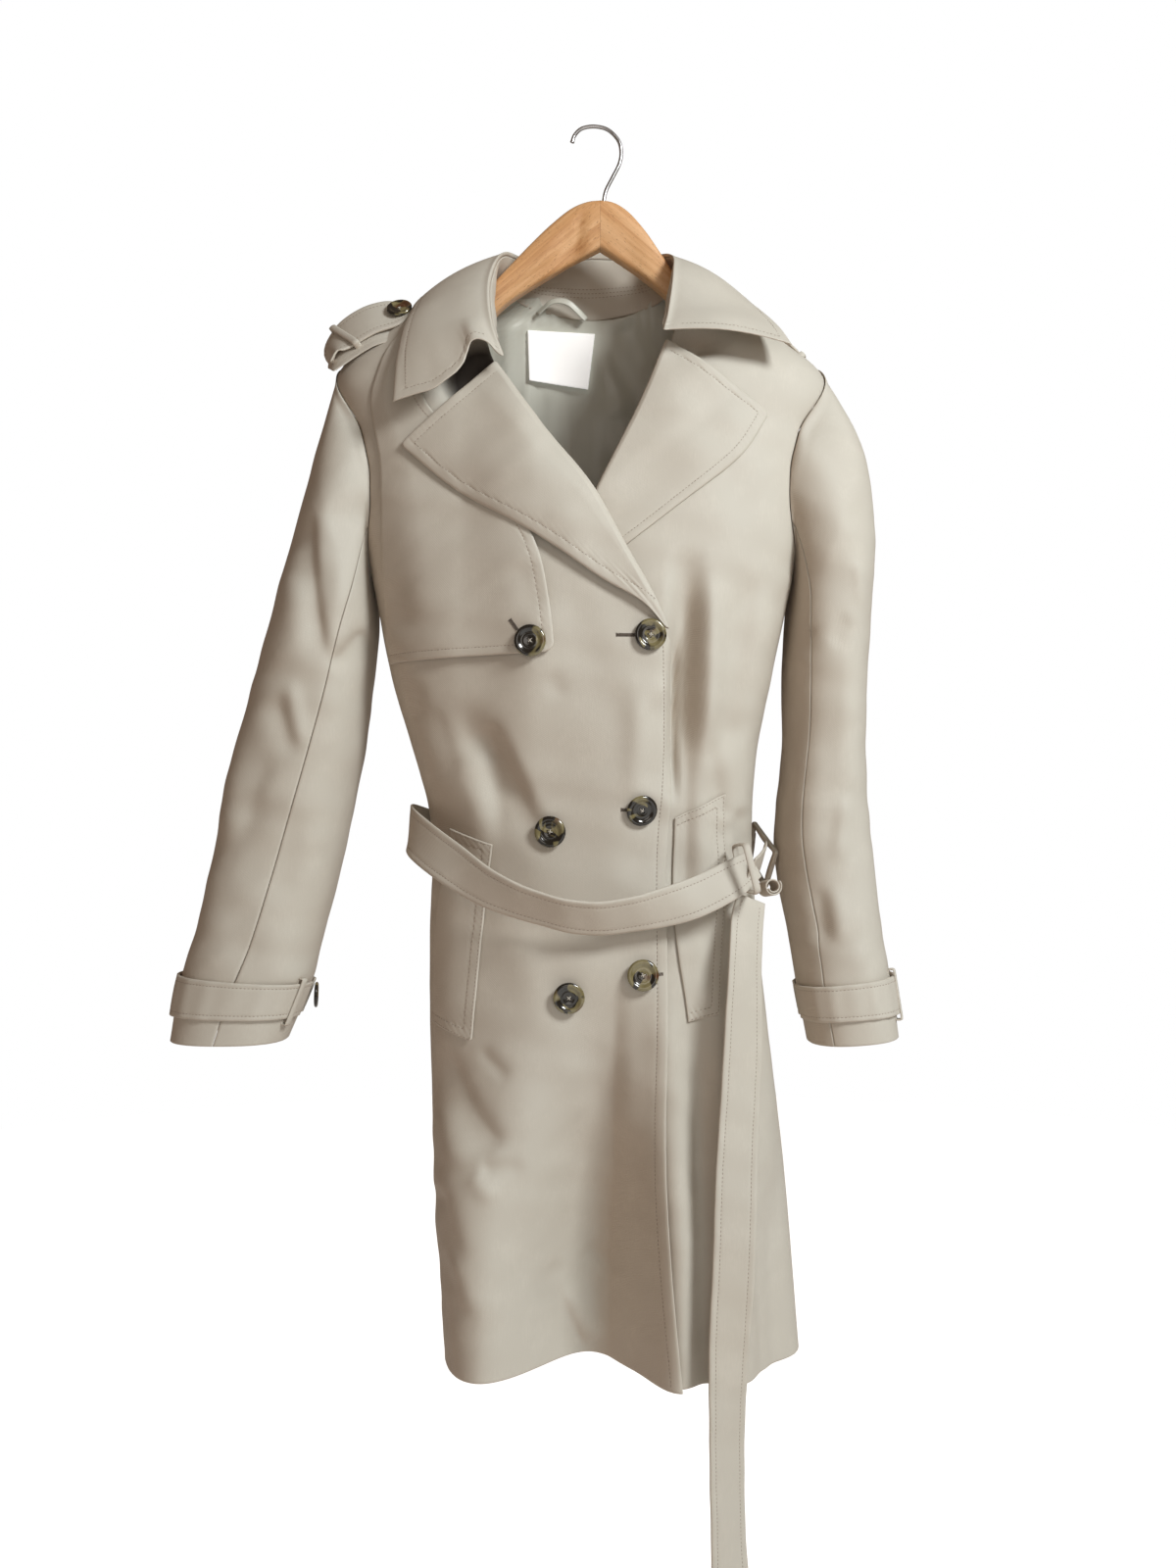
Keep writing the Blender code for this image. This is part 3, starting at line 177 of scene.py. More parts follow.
# Creases, in millimetres: x and z of each end, how far it bows to its right side going along it, its half width,
# its height (a positive one is a ridge), how much wider its left flank is, and the share over which it fades in
# and out.
FRONT_CREASES = [
    (-100, -566, -41, -692, 3, 9, -4.0, 0.3, 0.12, 0.5),
    (-122, -583, -90, -692, 0, 14, 4.0, 0.0, 0.3, 0.4),
    (-96, -580, -82, -686, 0, 7, -2.5, 0.0, 0.2, 0.4),
    (-149, -547, -121, -622, 0, 8, -2.5, 0.2, 0.3, 0.3),
    (-166, -525, -157, -569, 0, 7, -2.0, 0.0, 0.3, 0.3),
    (-41, -524, -28, -548, 0, 6, -1.2, 0.0, 0.3, 0.3),
    (-68, -425, -52, -478, 3, 10, -2.2, 0.0, 0.3, 0.3),
    (-192, -432, -172, -494, 2, 12, -3.0, 0.0, 0.3, 0.3),
    (38, -527, 33, -650, 0, 8, 2.5, 0.0, 0.3, 0.3),
    (54, -532, 52, -640, 0, 8, -2.5, 0.0, 0.3, 0.3),
    (60, -632, 24, -716, 0, 13, -4.0, 0.0, 0.3, 0.4),
    (-142, -856, -80, -949, -5, 12, -5.0, 0.3, 0.3, 0.15),
    (-138, -907, -111, -966, 0, 9, 3.5, 0.0, 0.3, 0.3),
    (-100, -963, -59, -962, 0, 6, -2.5, 0.0, 0.2, 0.4),
    (-104, -965, -83, -993, 0, 6, 3.0, 0.0, 0.2, 0.4),
    (-45, -1076, -14, -1150, -2, 8, -4.0, 0.3, 0.3, 0.2),
    (-28, -1080, 2, -1140, -3, 9, 3.5, 0.0, 0.3, 0.2),
    (16, -770, 8, -1160, 0, 17, -6.5, 0.5, 0.2, 0.01),
    (60, -780, 62, -1160, 0, 13, 7.5, 0.0, 0.2, 0.01),
    (-136, -1010, -128, -1160, 0, 16, -4.0, 0.0, 0.4, 0.01),
    (-70, -990, -52, -1160, 4, 18, -4.0, 0.2, 0.4, 0.01),
    (-13, -1051, 24, -1072, 0, 8, -3.0, 0.0, 0.2, 0.4),
    (-37, -1054, -56, -1103, 0, 7, -2.5, 0.0, 0.3, 0.3),
    (-135, -982, -106, -1054, 0, 9, -3.5, 0.2, 0.2, 0.4),
    (-128, -1036, -105, -1100, 0, 7, -2.5, 0.0, 0.3, 0.3),
    (-120, -1036, -93, -1092, 0, 8, 2.5, 0.0, 0.3, 0.3),
    (-106, -855, -74, -886, 0, 5, -2.0, 0.0, 0.3, 0.3),
    (40, -850, 24, -945, 0, 14, 3.5, 0.0, 0.3, 0.3),
    (73, -470, 71, -650, 0, 5, -12.0, 0.3, 0.3, 0.3),
    (86, -430, 78, -780, 0, 12, -7.0, 0.4, 0.3, 0.3),
    (138, -407, 112, -613, 5, 11, -5.5, 0.2, 0.3, 0.2),
    (106, -420, 96, -650, 0, 10, 5.0, 0.0, 0.3, 0.4),
    (96, -560, 124, -690, 0, 10, -5.0, 0.3, 0.3, 0.2),
    (150, -450, 120, -575, 0, 12, 3.0, 0.0, 0.3, 0.3),
    (118, -644, 124, -686, 0, 6, 3.0, 0.0, 0.3, 0.3),
    (132, -640, 136, -690, 0, 7, -3.5, 0.0, 0.3, 0.3),
    (80, -848, 84, -1160, 0, 9, 5.0, 0.0, 0.2, 0.01),
    (97, -788, 92, -1160, 0, 13, -11.0, 0.0, 0.3, 0.01),
    (150, -889, 164, -1160, 0, 12, 4.0, 0.0, 0.3, 0.01),
    (170, -960, 176, -1160, 0, 10, -3.0, 0.0, 0.4, 0.01),
]
BACK_CREASES = [
    (-40, -500, -14, -640, 3, 10, -3.5, 0.2, 0.3, 0.3),
    (60, -510, 22, -650, -3, 11, -4.0, 0.2, 0.3, 0.3),
    (-120, -520, -86, -610, 0, 9, 3.0, 0.0, 0.3, 0.3),
    (112, -530, 92, -640, 0, 10, -3.0, 0.0, 0.3, 0.3),
    (-60, -740, -52, -1160, 4, 16, -8.0, 0.2, 0.4, 0.01),
    (-122, -780, -124, -1160, 0, 13, -6.0, 0.0, 0.4, 0.01),
    (62, -760, 74, -1160, -4, 15, -8.0, 0.1, 0.4, 0.01),
    (152, -800, 164, -1160, 0, 12, -5.0, 0.0, 0.4, 0.01),
    (-20, -900, -26, -1160, 0, 10, 4.0, 0.0, 0.4, 0.01),
    (104, -980, 96, -1080, 0, 9, 3.0, 0.0, 0.3, 0.3),
    (-100, -960, -84, -1040, 0, 9, -3.0, 0.0, 0.3, 0.3),
    (30, -705, 36, -790, 0, 8, -2.5, 0.0, 0.1, 0.5),
    (-30, -705, -34, -770, 0, 8, -2.0, 0.0, 0.1, 0.5),
    (90, -700, 92, -780, 0, 8, 2.0, 0.0, 0.1, 0.5),
    (-140, -300, -60, -420, 8, 20, -2.5, 0.0, 0.4, 0.4),
    (120, -300, 50, -430, -8, 20, -2.5, 0.0, 0.4, 0.4),
]
# Fine unevenness of the cloth: wave length, direction in degrees, phase, height, all lengths in millimetres
UNEVENNESS = [(61, 22, 0.4, 0.40), (43, 78, 2.1, 0.28), (29, 131, 4.0, 0.16), (97, 165, 1.3, 0.55)]
# Hollows of the fronts under the collar's two ends: x, z, reach across, reach down, depth
RIGHT_HOLLOW = (-0.1080, -0.2600, 0.022, 0.020, 0.030)
LEFT_HOLLOW = (0.0880, -0.2200, 0.022, 0.012, 0.016)


FOLD_DEPTH = 1.05
FOLD_WIDTH = 1.40


def creases(rows, x, z):
    """How far those creases move the surface outwards at x and z."""
    moved = np.zeros(np.broadcast(x, z).shape)
    for x1, z1, x2, z2, bow, width, height, lean, fade_in, fade_out in rows:
        run, fall = (x2 - x1) / 1000, (z2 - z1) / 1000
        length = math.hypot(run, fall)
        from_x, from_z = x - x1 / 1000, z - z1 / 1000
        along = (from_x * run + from_z * fall) / length**2
        inside = np.clip(along, 0.0, 1.0)
        across = (from_x * fall - from_z * run) / length + bow / 1000 * 4 * inside * (1 - inside)
        flank = FOLD_WIDTH * width / 1000 * (1 + lean * np.tanh(across / 0.003))
        fade = smooth_step(along / fade_in) * smooth_step((1 - along) / fade_out)
        moved = moved + FOLD_DEPTH * height / 1000 * fade * np.exp(-((across / flank) ** 2))
    return moved


def unevenness(x, z):
    moved = 0.0
    for wave, direction, phase, height in UNEVENNESS:
        turn = math.radians(direction)
        way = (x * math.cos(turn) + z * math.sin(turn)) * 2000 * math.pi / wave
        moved = moved + height / 1000 * np.sin(way + phase + 0.9 * np.sin(way * 0.37 + phase))
    return moved


def body_fold(face, x, z):
    """How far the folds and creases move the body's surface outwards there."""
    moved = creases(FRONT_CREASES if face == FRONT else BACK_CREASES, x, z) + unevenness(x, z)
    for fold_face, x_top, z_top, x_bottom, z_bottom, half, height, fade_top, fade_bottom in BODY_FOLDS:
        if fold_face != face:
            continue
        along = np.clip((z - z_top) / (z_bottom - z_top), 0.0, 1.0)
        middle = x_top + (x_bottom - x_top) * along
        across = np.clip(np.abs(x - middle) / half, 0.0, 1.0)
        fade = smooth_step(along / fade_top)
        if fade_bottom:
            fade = fade * smooth_step((1 - along) / fade_bottom)
        moved = moved + height * fade * 0.5 * (1 + np.cos(math.pi * across))
    return moved


def body_section(face, z):
    """Middle, half width and depth of the section at that height."""
    right, left = BODY("right", z), BODY("left", z)
    return (left + right) / 2, (left - right) / 2, BODY("front" if face == FRONT else "back", z)


def body_surface(face, angle, z, lift=0.0):
    """Point of the coat's outer surface. The angle is 0 at the right side seam and pi at the left one."""
    angle, z = np.broadcast_arrays(np.asarray(angle, float), np.asarray(z, float))
    middle, half, depth = body_section(face, z)
    step = 0.002
    above, below = body_section(face, z + step), body_section(face, z - step)
    slope_middle, slope_half, slope_depth = [(a - b) / (2 * step) for a, b in zip(above, below)]
    cosine, sine = -np.cos(angle), np.abs(np.sin(angle))
    across = np.sign(cosine) * np.abs(cosine) ** (2 / ROUND)
    outward = sine ** (2 / ROUND)
    x, y = middle + half * across, face * depth * outward
    normal_x = np.sign(across) * np.abs(across) ** (ROUND - 1) / half
    normal_y = face * outward ** (ROUND - 1) / depth
    normal_z = (
        -normal_x * slope_middle
        - np.abs(across) ** ROUND * slope_half / half
        - outward**ROUND * slope_depth / depth
    )
    normal = unit(np.stack([normal_x, normal_y, normal_z], axis=-1))
    push = np.asarray(lift + body_fold(face, x, z) * smooth_step(sine / 0.35))
    return np.stack([x, y, z], axis=-1) + normal * push[..., None]


def body_angle(face, x, z):
    """The angle at which the section at that height is at x."""
    middle, half, _ = body_section(face, z)
    across = np.clip((x - middle) / half, -1.0, 1.0)
    return np.arccos(np.clip(-np.sign(across) * np.abs(across) ** (ROUND / 2), -1.0, 1.0))


def body_x(face, angle, z):
    middle, half, _ = body_section(face, z)
    cosine = -np.cos(angle)
    return middle + half * np.sign(cosine) * np.abs(cosine) ** (2 / ROUND)


def seam_angle(face, side, z):
    """The outer edge of a body panel: shoulder seam, then armhole, then side seam."""
    down = np.clip((SHOULDER_Z - z) / (SHOULDER_Z - ARMPIT_Z), 0.0, 1.0)
    reach = ARMHOLE_REACH * np.sin(math.pi * down) ** 0.7
    _, half, depth = body_section(face, z)
    clear = np.arcsin(np.clip((SEAM_GAP / depth) ** (ROUND / 2), 0.0, 1.0))
    reach = np.maximum(reach, clear)
    return reach if side == RIGHT else math.pi - reach


def on_body(face, x, z, lift=0.0):
    x, z = np.broadcast_arrays(np.asarray(x, float), np.asarray(z, float))
    return body_surface(face, body_angle(face, x, z), z, lift)


# ---- Finishes -------------------------------------------------------------------------------------


class Value:
    """One output of a node. Operators on it add Math nodes."""

    def __init__(self, finish, socket):
        self.finish = finish
        self.socket = socket

    def __add__(self, other):
        return self.finish.maths("ADD", self, other)

    def __radd__(self, other):
        return self.finish.maths("ADD", other, self)

    def __sub__(self, other):
        return self.finish.maths("SUBTRACT", self, other)

    def __rsub__(self, other):
        return self.finish.maths("SUBTRACT", other, self)

    def __mul__(self, other):
        return self.finish.maths("MULTIPLY", self, other)

    def __rmul__(self, other):
        return self.finish.maths("MULTIPLY", other, self)

    def __truediv__(self, other):
        return self.finish.maths("DIVIDE", self, other)

    def __pow__(self, other):
        return self.finish.maths("POWER", self, other)


class Finish:
    """A material and the nodes it is made of."""

    def __init__(self, name, constants):
        self.material = bpy.data.materials.new(name)
        self.material.use_nodes = True
        self.tree = self.material.node_tree
        self.shader = self.tree.nodes["Principled BSDF"]
        for socket, value in constants.items():
            self.feed(self.shader.inputs[socket], value)
        self.place = self.node("TexCoord", output="Object")
        self.x, self.y, self.z = [self.part(self.place, axis) for axis in "XYZ"]

    def feed(self, socket, value):
        """Gives a socket a link, a number, or a colour or vector."""
        if isinstance(value, Value):
            self.tree.links.new(value.socket, socket)
        elif hasattr(socket.default_value, "__len__"):
            socket.default_value = (*value, 1.0)[: len(socket.default_value)]
        else:
            socket.default_value = value

    def node(self, kind, settings=None, inputs=None, output=0):
        """A node of that kind: its settings first, then the values or links of its sockets."""
        made = self.tree.nodes.new("ShaderNode" + kind)
        for name, value in (settings or {}).items():
            if name == "stops":
                ramp = made.color_ramp
                while len(ramp.elements) < len(value):
                    ramp.elements.new(1.0)
                for element, (position, colour) in zip(ramp.elements, value):
                    element.position = position
                    element.color = (*colour, 1.0)
            else:
                setattr(made, name, value)
        for name, value in (inputs or {}).items():
            self.feed(made.inputs[name], value)
        return Value(self, made.outputs[output])

    def maths(self, operation, *values):
        return self.node("Math", {"operation": operation}, dict(enumerate(values)))

    def limit(self, value):
        """The value, kept between 0 and 1."""
        return self.node("Math", {"operation": "ADD", "use_clamp": True}, {0: value, 1: 0.0})

    def sine(self, value):
        return self.maths("SINE", value)

    def part(self, vector, axis):
        return self.node("SeparateXYZ", inputs={"Vector": vector}, output=axis)

    def vector(self, x, y, z):
        return self.node("CombineXYZ", inputs={"X": x, "Y": y, "Z": z})

    def noise(self, scale, detail=2.0, vector=None, roughness=0.5, distortion=0.0):
        inputs = {
            "Vector": vector or self.place,
            "Scale": scale,
            "Detail": detail,
            "Roughness": roughness,
            "Distortion": distortion,
        }
        return self.node("TexNoise", inputs=inputs)

    def ramp(self, value, stops):
        return self.node("ValToRGB", {"stops": stops}, {"Fac": value})

    def mix(self, share, first, second, blend="MIX"):
        settings = {"data_type": "RGBA", "blend_type": blend, "clamp_factor": True}
        return self.node("Mix", settings, {0: share, 6: first, 7: second}, output=2)

    def facing(self, direction):
        """How far the surface looks that way, from -1 to 1."""
        normal = self.node("NewGeometry", output="Normal")
        inputs = {0: normal, 1: tuple(unit(direction))}
        return self.node("VectorMath", {"operation": "DOT_PRODUCT"}, inputs, output="Value")

    def written(self, name):
        """A number that the mesh carries at each of its points."""
        return self.node("Attribute", {"attribute_name": name}, output="Fac")

    def bump(self, height, distance, strength=1.0):
        return self.node("Bump", None, {"Height": height, "Distance": distance, "Strength": strength})

    def paint(self, **inputs):
        for name, value in inputs.items():
            self.feed(self.shader.inputs[name.replace("_", " ")], value)
        return self.material


def twill(finish, pitch):
    """Raised diagonal lines of a twill, which climb to the right, and the threads that cross them."""
    round_body = finish.x + finish.y * 0.8
    lines = finish.sine((finish.z * 0.8 + round_body) * (2 * math.pi / pitch))
    threads = finish.sine((finish.z - round_body * 0.35) * (2 * math.pi / (pitch * 0.61)))
    return lines * 0.6 + threads * 0.25


def gabardine(name, light, shade, worn):
    """Fine cotton gabardine: painted light, cooler where it faces the key light, painted shade, warmer where it turns
    away, paler at worn edges, and a painted shadow in the hollow under the collar's right end.
    """
    cloth = Finish(
        name,
        {"Sheen Weight": 0.07, "Sheen Roughness": 0.5, "Sheen Tint": (1.0, 0.97, 0.90), "IOR": 1.45},
    )
    # Painted light and shade: the colour goes from the shade colour to the light colour as the surface turns towards
    # the key light at the right front.
    lit = cloth.limit(cloth.facing((0.58, -0.60, 0.55)) * 1.05 + 0.14)
    cloud = cloth.noise(5.5, 3.0)
    mottle = cloth.noise(34.0, 4.0, roughness=0.6)
    slub = cloth.noise(1.0, 2.0, cloth.vector(cloth.x * 900, cloth.y * 900, cloth.z * 90))
    colour = cloth.mix(lit, shade, light)
    colour = cloth.mix(cloud * 0.5 - 0.12, colour, (0.93, 0.86, 0.79), "MULTIPLY")
    colour = cloth.mix((mottle - 0.5) * 0.5 + (slub - 0.5) * 0.25, colour, (1.0, 0.98, 0.94), "SOFT_LIGHT")
    colour = cloth.mix(cloth.written("rim") * 0.35, colour, worn)
    # Painted shadow: near-black brown in the hollow under the collar's right end, only deeper than the lapel and in
    # front of the back, whatever light reaches it.
    across, down = (cloth.x + 0.1050) / 0.030, (cloth.z + 0.2530) / 0.029
    inside = cloth.limit(1.5 - across**2 - down**2)
    inside = inside * cloth.limit((cloth.y + 0.0790) / 0.010) * cloth.limit((-0.010 - cloth.y) / 0.010)
    colour = cloth.mix(inside, colour, (0.030, 0.022, 0.016))
    height = twill(cloth, 0.0012) * 0.5 + slub * 0.5 + mottle * 0.8
    rough = 0.50 + cloud * 0.10 + mottle * 0.06
    return cloth.paint(Base_Color=colour, Roughness=rough, Normal=cloth.bump(height, 0.00022, 0.55))


def satin():
    """Smooth acetate lining, woven so that its sheen runs down the length."""
    cloth = Finish("satin", {"Sheen Weight": 0.15, "Sheen Roughness": 0.3, "IOR": 1.5})
    streak = cloth.noise(1.0, 3.0, cloth.vector(cloth.x * 420, cloth.y * 420, cloth.z * 14))
    cloud = cloth.noise(12.0, 2.0)
    colour = cloth.mix(cloud, (0.50, 0.51, 0.45), (0.60, 0.61, 0.54))
    colour = cloth.mix(streak * 0.3, colour, (0.60, 0.61, 0.55))
    colour = cloth.mix(cloth.written("rim") * 0.3, colour, (0.30, 0.29, 0.24))
    rough = 0.30 + streak * 0.12
    return cloth.paint(Base_Color=colour, Roughness=rough, Normal=cloth.bump(streak, 0.00012, 0.5))


def woven_label():
    """Plain white woven ribbon, with a painted glow of its own colour so that it stays white in the collar's shade."""
    # Painted light: a faint glow of the label's own colour, though it is no lamp.
    cloth = Finish("label_white", {"Sheen Weight": 0.1, "Emission Strength": 0.38})
    across = cloth.sine(cloth.x * (2 * math.pi / 0.0009))
    down = cloth.sine(cloth.z * (2 * math.pi / 0.0007))
    cloud = cloth.noise(60.0)
    colour = cloth.mix(cloud, (0.93, 0.93, 0.92), (0.97, 0.97, 0.97))
    return cloth.paint(
        Base_Color=colour,
        Emission_Color=colour,
        Roughness=0.45 + cloud * 0.1,
        Normal=cloth.bump(across * down, 0.0001, 0.5),
    )


def sewing_thread(name, colour, dark):
    thread = Finish(name, {"Sheen Weight": 0.2})
    twist = thread.sine((thread.x + thread.z + thread.y) * (2 * math.pi / 0.0005))
    cloud = thread.noise(160.0)
    painted = thread.mix(cloud, dark, colour)
    return thread.paint(Base_Color=painted, Roughness=0.55 + cloud * 0.2, Normal=thread.bump(twist, 0.00005))


def horn():
    """Polished imitation horn: black drifts and a little red-brown in cloudy olive."""
    button = Finish("horn", {"Coat Roughness": 0.06, "IOR": 1.53, "Subsurface Weight": 0.0})
    drift = button.noise(52.0, 1.2, distortion=1.3)
    cloud = button.noise(170.0, 3.0)
    warm = button.limit((button.noise(61.0, 1.0, button.vector(button.z, button.x, button.y)) - 0.56) * 9)
    olive = button.mix(cloud, (0.125, 0.105, 0.040), (0.27, 0.235, 0.120))
    olive = button.mix(warm, olive, (0.085, 0.032, 0.010))
    black = button.limit((drift - 0.485) * 22)
    colour = button.mix(black, olive, (0.007, 0.006, 0.004))
    return button.paint(
        Base_Color=colour,
        Roughness=0.16 + cloud * 0.1,
        Coat_Weight=0.75 + cloud * 0.2,
        Normal=button.bump(cloud, 0.00003),
    )


def beech():
    """Steamed beech under clear lacquer: fine growth lines along each arm and short dark flecks."""
    wood = Finish("beech", {"Coat Roughness": 0.16, "IOR": 1.5})
    side = wood.maths("ABSOLUTE", wood.x - 0.005)
    along = side * 0.77 - wood.z * 0.64
    across = side * 0.64 + wood.z * 0.77
    arm = wood.maths("SIGN", wood.x - 0.005) * 0.35
    lines = wood.noise(1.0, 4.0, wood.vector(along * 7 + arm, wood.y * 240, across * 240), 0.62, 0.6)
    band = wood.noise(1.0, 2.0, wood.vector(along * 3 + arm, wood.y * 46, across * 62))
    fleck = wood.noise(1.0, 2.0, wood.vector(along * 260 + arm, wood.y * 1500, across * 1500))
    fleck = wood.limit((fleck - 0.62) * 9)
    colour = wood.ramp(
        lines * 0.5 + band * 0.5,
        [
            (0.34, (0.50, 0.235, 0.090)),
            (0.46, (0.64, 0.345, 0.150)),
            (0.54, (0.72, 0.420, 0.205)),
            (0.66, (0.80, 0.50, 0.26)),
        ],
    )
    colour = wood.mix(fleck * 0.8, colour, (0.27, 0.115, 0.040))
    mitre = wood.limit(1 - wood.maths("ABSOLUTE", wood.x - 0.0052) * 3600)
    colour = wood.mix(mitre * 0.75, colour, (0.16, 0.06, 0.02))
    rough = 0.44 + lines * 0.15
    return wood.paint(
        Base_Color=colour, Roughness=rough, Coat_Weight=0.12 + band * 0.1, Normal=wood.bump(lines - fleck, 0.00012, 0.6)
    )


def chrome():
    wire = Finish("chrome", {"Metallic": 1.0})
    dust = wire.noise(220.0, 3.0)
    scratch = wire.noise(1.0, 2.0, wire.vector(wire.x * 2400, wire.y * 2400, wire.z * 120))
    colour = wire.mix(dust, (0.50, 0.51, 0.53), (0.66, 0.67, 0.69))
    return wire.paint(
        Base_Color=colour, Roughness=0.24 + dust * 0.12, Normal=wire.bump(scratch, 0.00002, 0.4)
    )


def studio_floor():
    floor = Finish("studio_floor", {"Emission Strength": 1.0})
    cloud = floor.noise(1.2, 3.0)
    colour = floor.mix(cloud, (0.90, 0.90, 0.89), (0.94, 0.94, 0.935))
    looked_at = floor.node("LightPath", output="Is Camera Ray")
    glow = floor.mix(looked_at, (0.15, 0.15, 0.15), colour)
    return floor.paint(Base_Color=colour, Emission_Color=glow, Roughness=0.7)


FINISHES = {
    # Gabardine: its painted light colour where it faces the key light, its painted shade colour where it turns away,
    # and its worn edges
    "gabardine": gabardine("gabardine", (0.600, 0.588, 0.528), (0.500, 0.415, 0.335), (0.64, 0.60, 0.53)),
    "satin": satin(),
    "label_white": woven_label(),
    "thread": sewing_thread("thread", (0.36, 0.275, 0.215), (0.25, 0.185, 0.140)),
    # Dark buttonhole thread; the same finish also paints the shade in each buttonhole's opening.
    "hole_thread": sewing_thread("hole_thread", (0.17, 0.13, 0.10), (0.055, 0.042, 0.032)),
    "button_thread": sewing_thread("button_thread", (0.72, 0.69, 0.62), (0.52, 0.49, 0.43)),
    "horn": horn(),
    "beech": beech(),
    "chrome": chrome(),
}
SLOTS = {"thread": "gabardine", "hole_thread": "gabardine", "button_thread": "gabardine"}


# ---- Turning grids of points into pieces ----------------------------------------------------------


def new_piece(name, points, faces, finish, stands_for=(), rim=None, sharp=None):
    """A mesh piece, with its faces outwards, which rides on the coat's one body."""
    points = np.asarray(points, float).reshape(-1, 3)
    mesh = bpy.data.meshes.new(name)
    mesh.from_pydata(points.tolist(), [], [list(face) for face in faces])
    shape = bmesh.new()
    shape.from_mesh(mesh)
    bmesh.ops.recalc_face_normals(shape, faces=shape.faces)
    shape.to_mesh(mesh)
    shape.free()
    mesh.materials.append(FINISHES[finish])
    mesh.shade_smooth()
    if sharp:
        mesh.set_sharp_from_angle(angle=math.radians(sharp))
    if rim is not None:
        mesh.attributes.new("rim", "FLOAT", "POINT").data.foreach_set("value", np.asarray(rim, np.float32))
    piece = bpy.data.objects.new(name, mesh)
    bpy.context.scene.collection.objects.link(piece)
    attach(piece, "root")
    if stands_for:
        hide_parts(*stands_for)
    SLOTS.get(finish, finish)
    return piece


def grid_faces(rows, columns, ring=False):
    """Quads between the points of a grid; with ring, its last row joins its first."""
    index = np.arange(rows * columns).reshape(rows, columns)
    if ring:
        index = np.concatenate([index, index[:1]])
    corners = [index[:-1, :-1], index[:-1, 1:], index[1:, 1:], index[1:, :-1]]
    return np.stack([corner.ravel() for corner in corners], axis=1)


def wall(name, face_at, shape, finish="gabardine", thickness=CLOTH, stands_for=(), ring=False):
    """A closed wall of cloth. face_at(lift) gives its grid of points at that lift; its rims are rounded over."""
    rows, columns = shape
    rim = np.zeros(shape)
    rim[:, [0, -1]] = 1.0
    if not ring:
        rim[[0, -1], :] = 1.0
    turned = TURN * thickness * rim
    outer, inner = face_at(-turned), face_at(turned - thickness)
    count = rows * columns
    sheet = grid_faces(rows, columns, ring)
    faces = [sheet, sheet[:, ::-1] + count]
    index = np.arange(count).reshape(rows, columns)
    if ring:
        borders = [np.append(index[:, 0], index[0, 0])[::-1], np.append(index[:, -1], index[0, -1])]
    else:
        around = [index[0, :-1], index[:-1, -1], index[-1, :0:-1], index[::-1, 0]]
        borders = [np.concatenate(around)]
    for border in borders:
        a, b = border[:-1], border[1:]
        faces.append(np.stack([b, a, a + count, b + count], axis=1))
    points = np.concatenate([outer.reshape(-1, 3), inner.reshape(-1, 3)])
    faces = np.concatenate(faces).tolist()
    return new_piece(name, points, faces, finish, stands_for, rim=np.tile(rim.ravel(), 2))


def loft(name, rings, finish, stands_for=(), closed=False, sharp=None):
    """A solid through rings of points. It is capped at both ends, or its last ring joins its first."""
    rings = np.asarray(rings, float)
    count, around = rings.shape[:2]
    index = np.arange(count * around).reshape(count, around)
    index = np.concatenate([index, index[:, :1]], axis=1)
    if closed:
        index = np.concatenate([index, index[:1]])
    corners = [index[:-1, :-1], index[:-1, 1:], index[1:, 1:], index[1:, :-1]]
    faces = np.stack([corner.ravel() for corner in corners], axis=1).tolist()
    if not closed:
        faces += [list(range(around)), list(range((count - 1) * around, count * around))]
    return new_piece(name, rings, faces, finish, stands_for, sharp=sharp)


RIM_STEP = 0.0008
PLAIN_EDGE = (0.0, RIM_STEP, 0.0030)
SEWN_EDGE = (0.0, RIM_STEP, 0.0026, 0.0050, 0.0073, 0.0083, 0.0090, 0.0097, 0.0108, 0.0130)
DOUBLE_EDGE = (0.0, RIM_STEP, 0.0013, 0.0018, 0.0026, 0.0045, 0.0066, 0.0075, 0.0080, 0.0085, 0.0095, 0.0115)


def spread(width, pitch, start=PLAIN_EDGE, end=PLAIN_EDGE):
    """Shares across pieces of those widths: fixed distances in from both edges and an even spacing between."""
    width = np.atleast_1d(np.asarray(width, float))[:, None]
    start, end = np.array(start)[None, :], np.array(end)[None, ::-1]
    start = start * np.minimum(1.0, 0.42 * width / max(start.max(), 1e-6))
    end = end * np.minimum(1.0, 0.42 * width / max(end.max(), 1e-6))
    first, last = start / width, 1 - end / width
    count = max(2, int(round(float(width.max()) / pitch)))
    between = np.linspace(0, 1, count + 1)[None, 1:-1]
    middle = first[:, -1:] + (last[:, :1] - first[:, -1:]) * between
    return np.concatenate([first, middle, last], axis=1)


# ---- Rows of stitches -----------------------------------------------------------------------------

STITCH_LENGTH = 0.0025
STITCH_PITCH = 0.0035
STITCH_RADIUS = 0.00030
STITCHES = {}


def even_path(points, pitch):
    """Points at an even pitch along a path, and the share of the way at which each is."""
    steps = np.linalg.norm(np.diff(points, axis=0), axis=1)
    length = np.concatenate([[0], np.cumsum(steps)])
    count = max(1, int(length[-1] / pitch))
    at = (np.arange(count) + 0.5) * length[-1] / count
    return np.stack([np.interp(at, length, points[:, axis]) for axis in range(3)], axis=-1), at / length[-1]


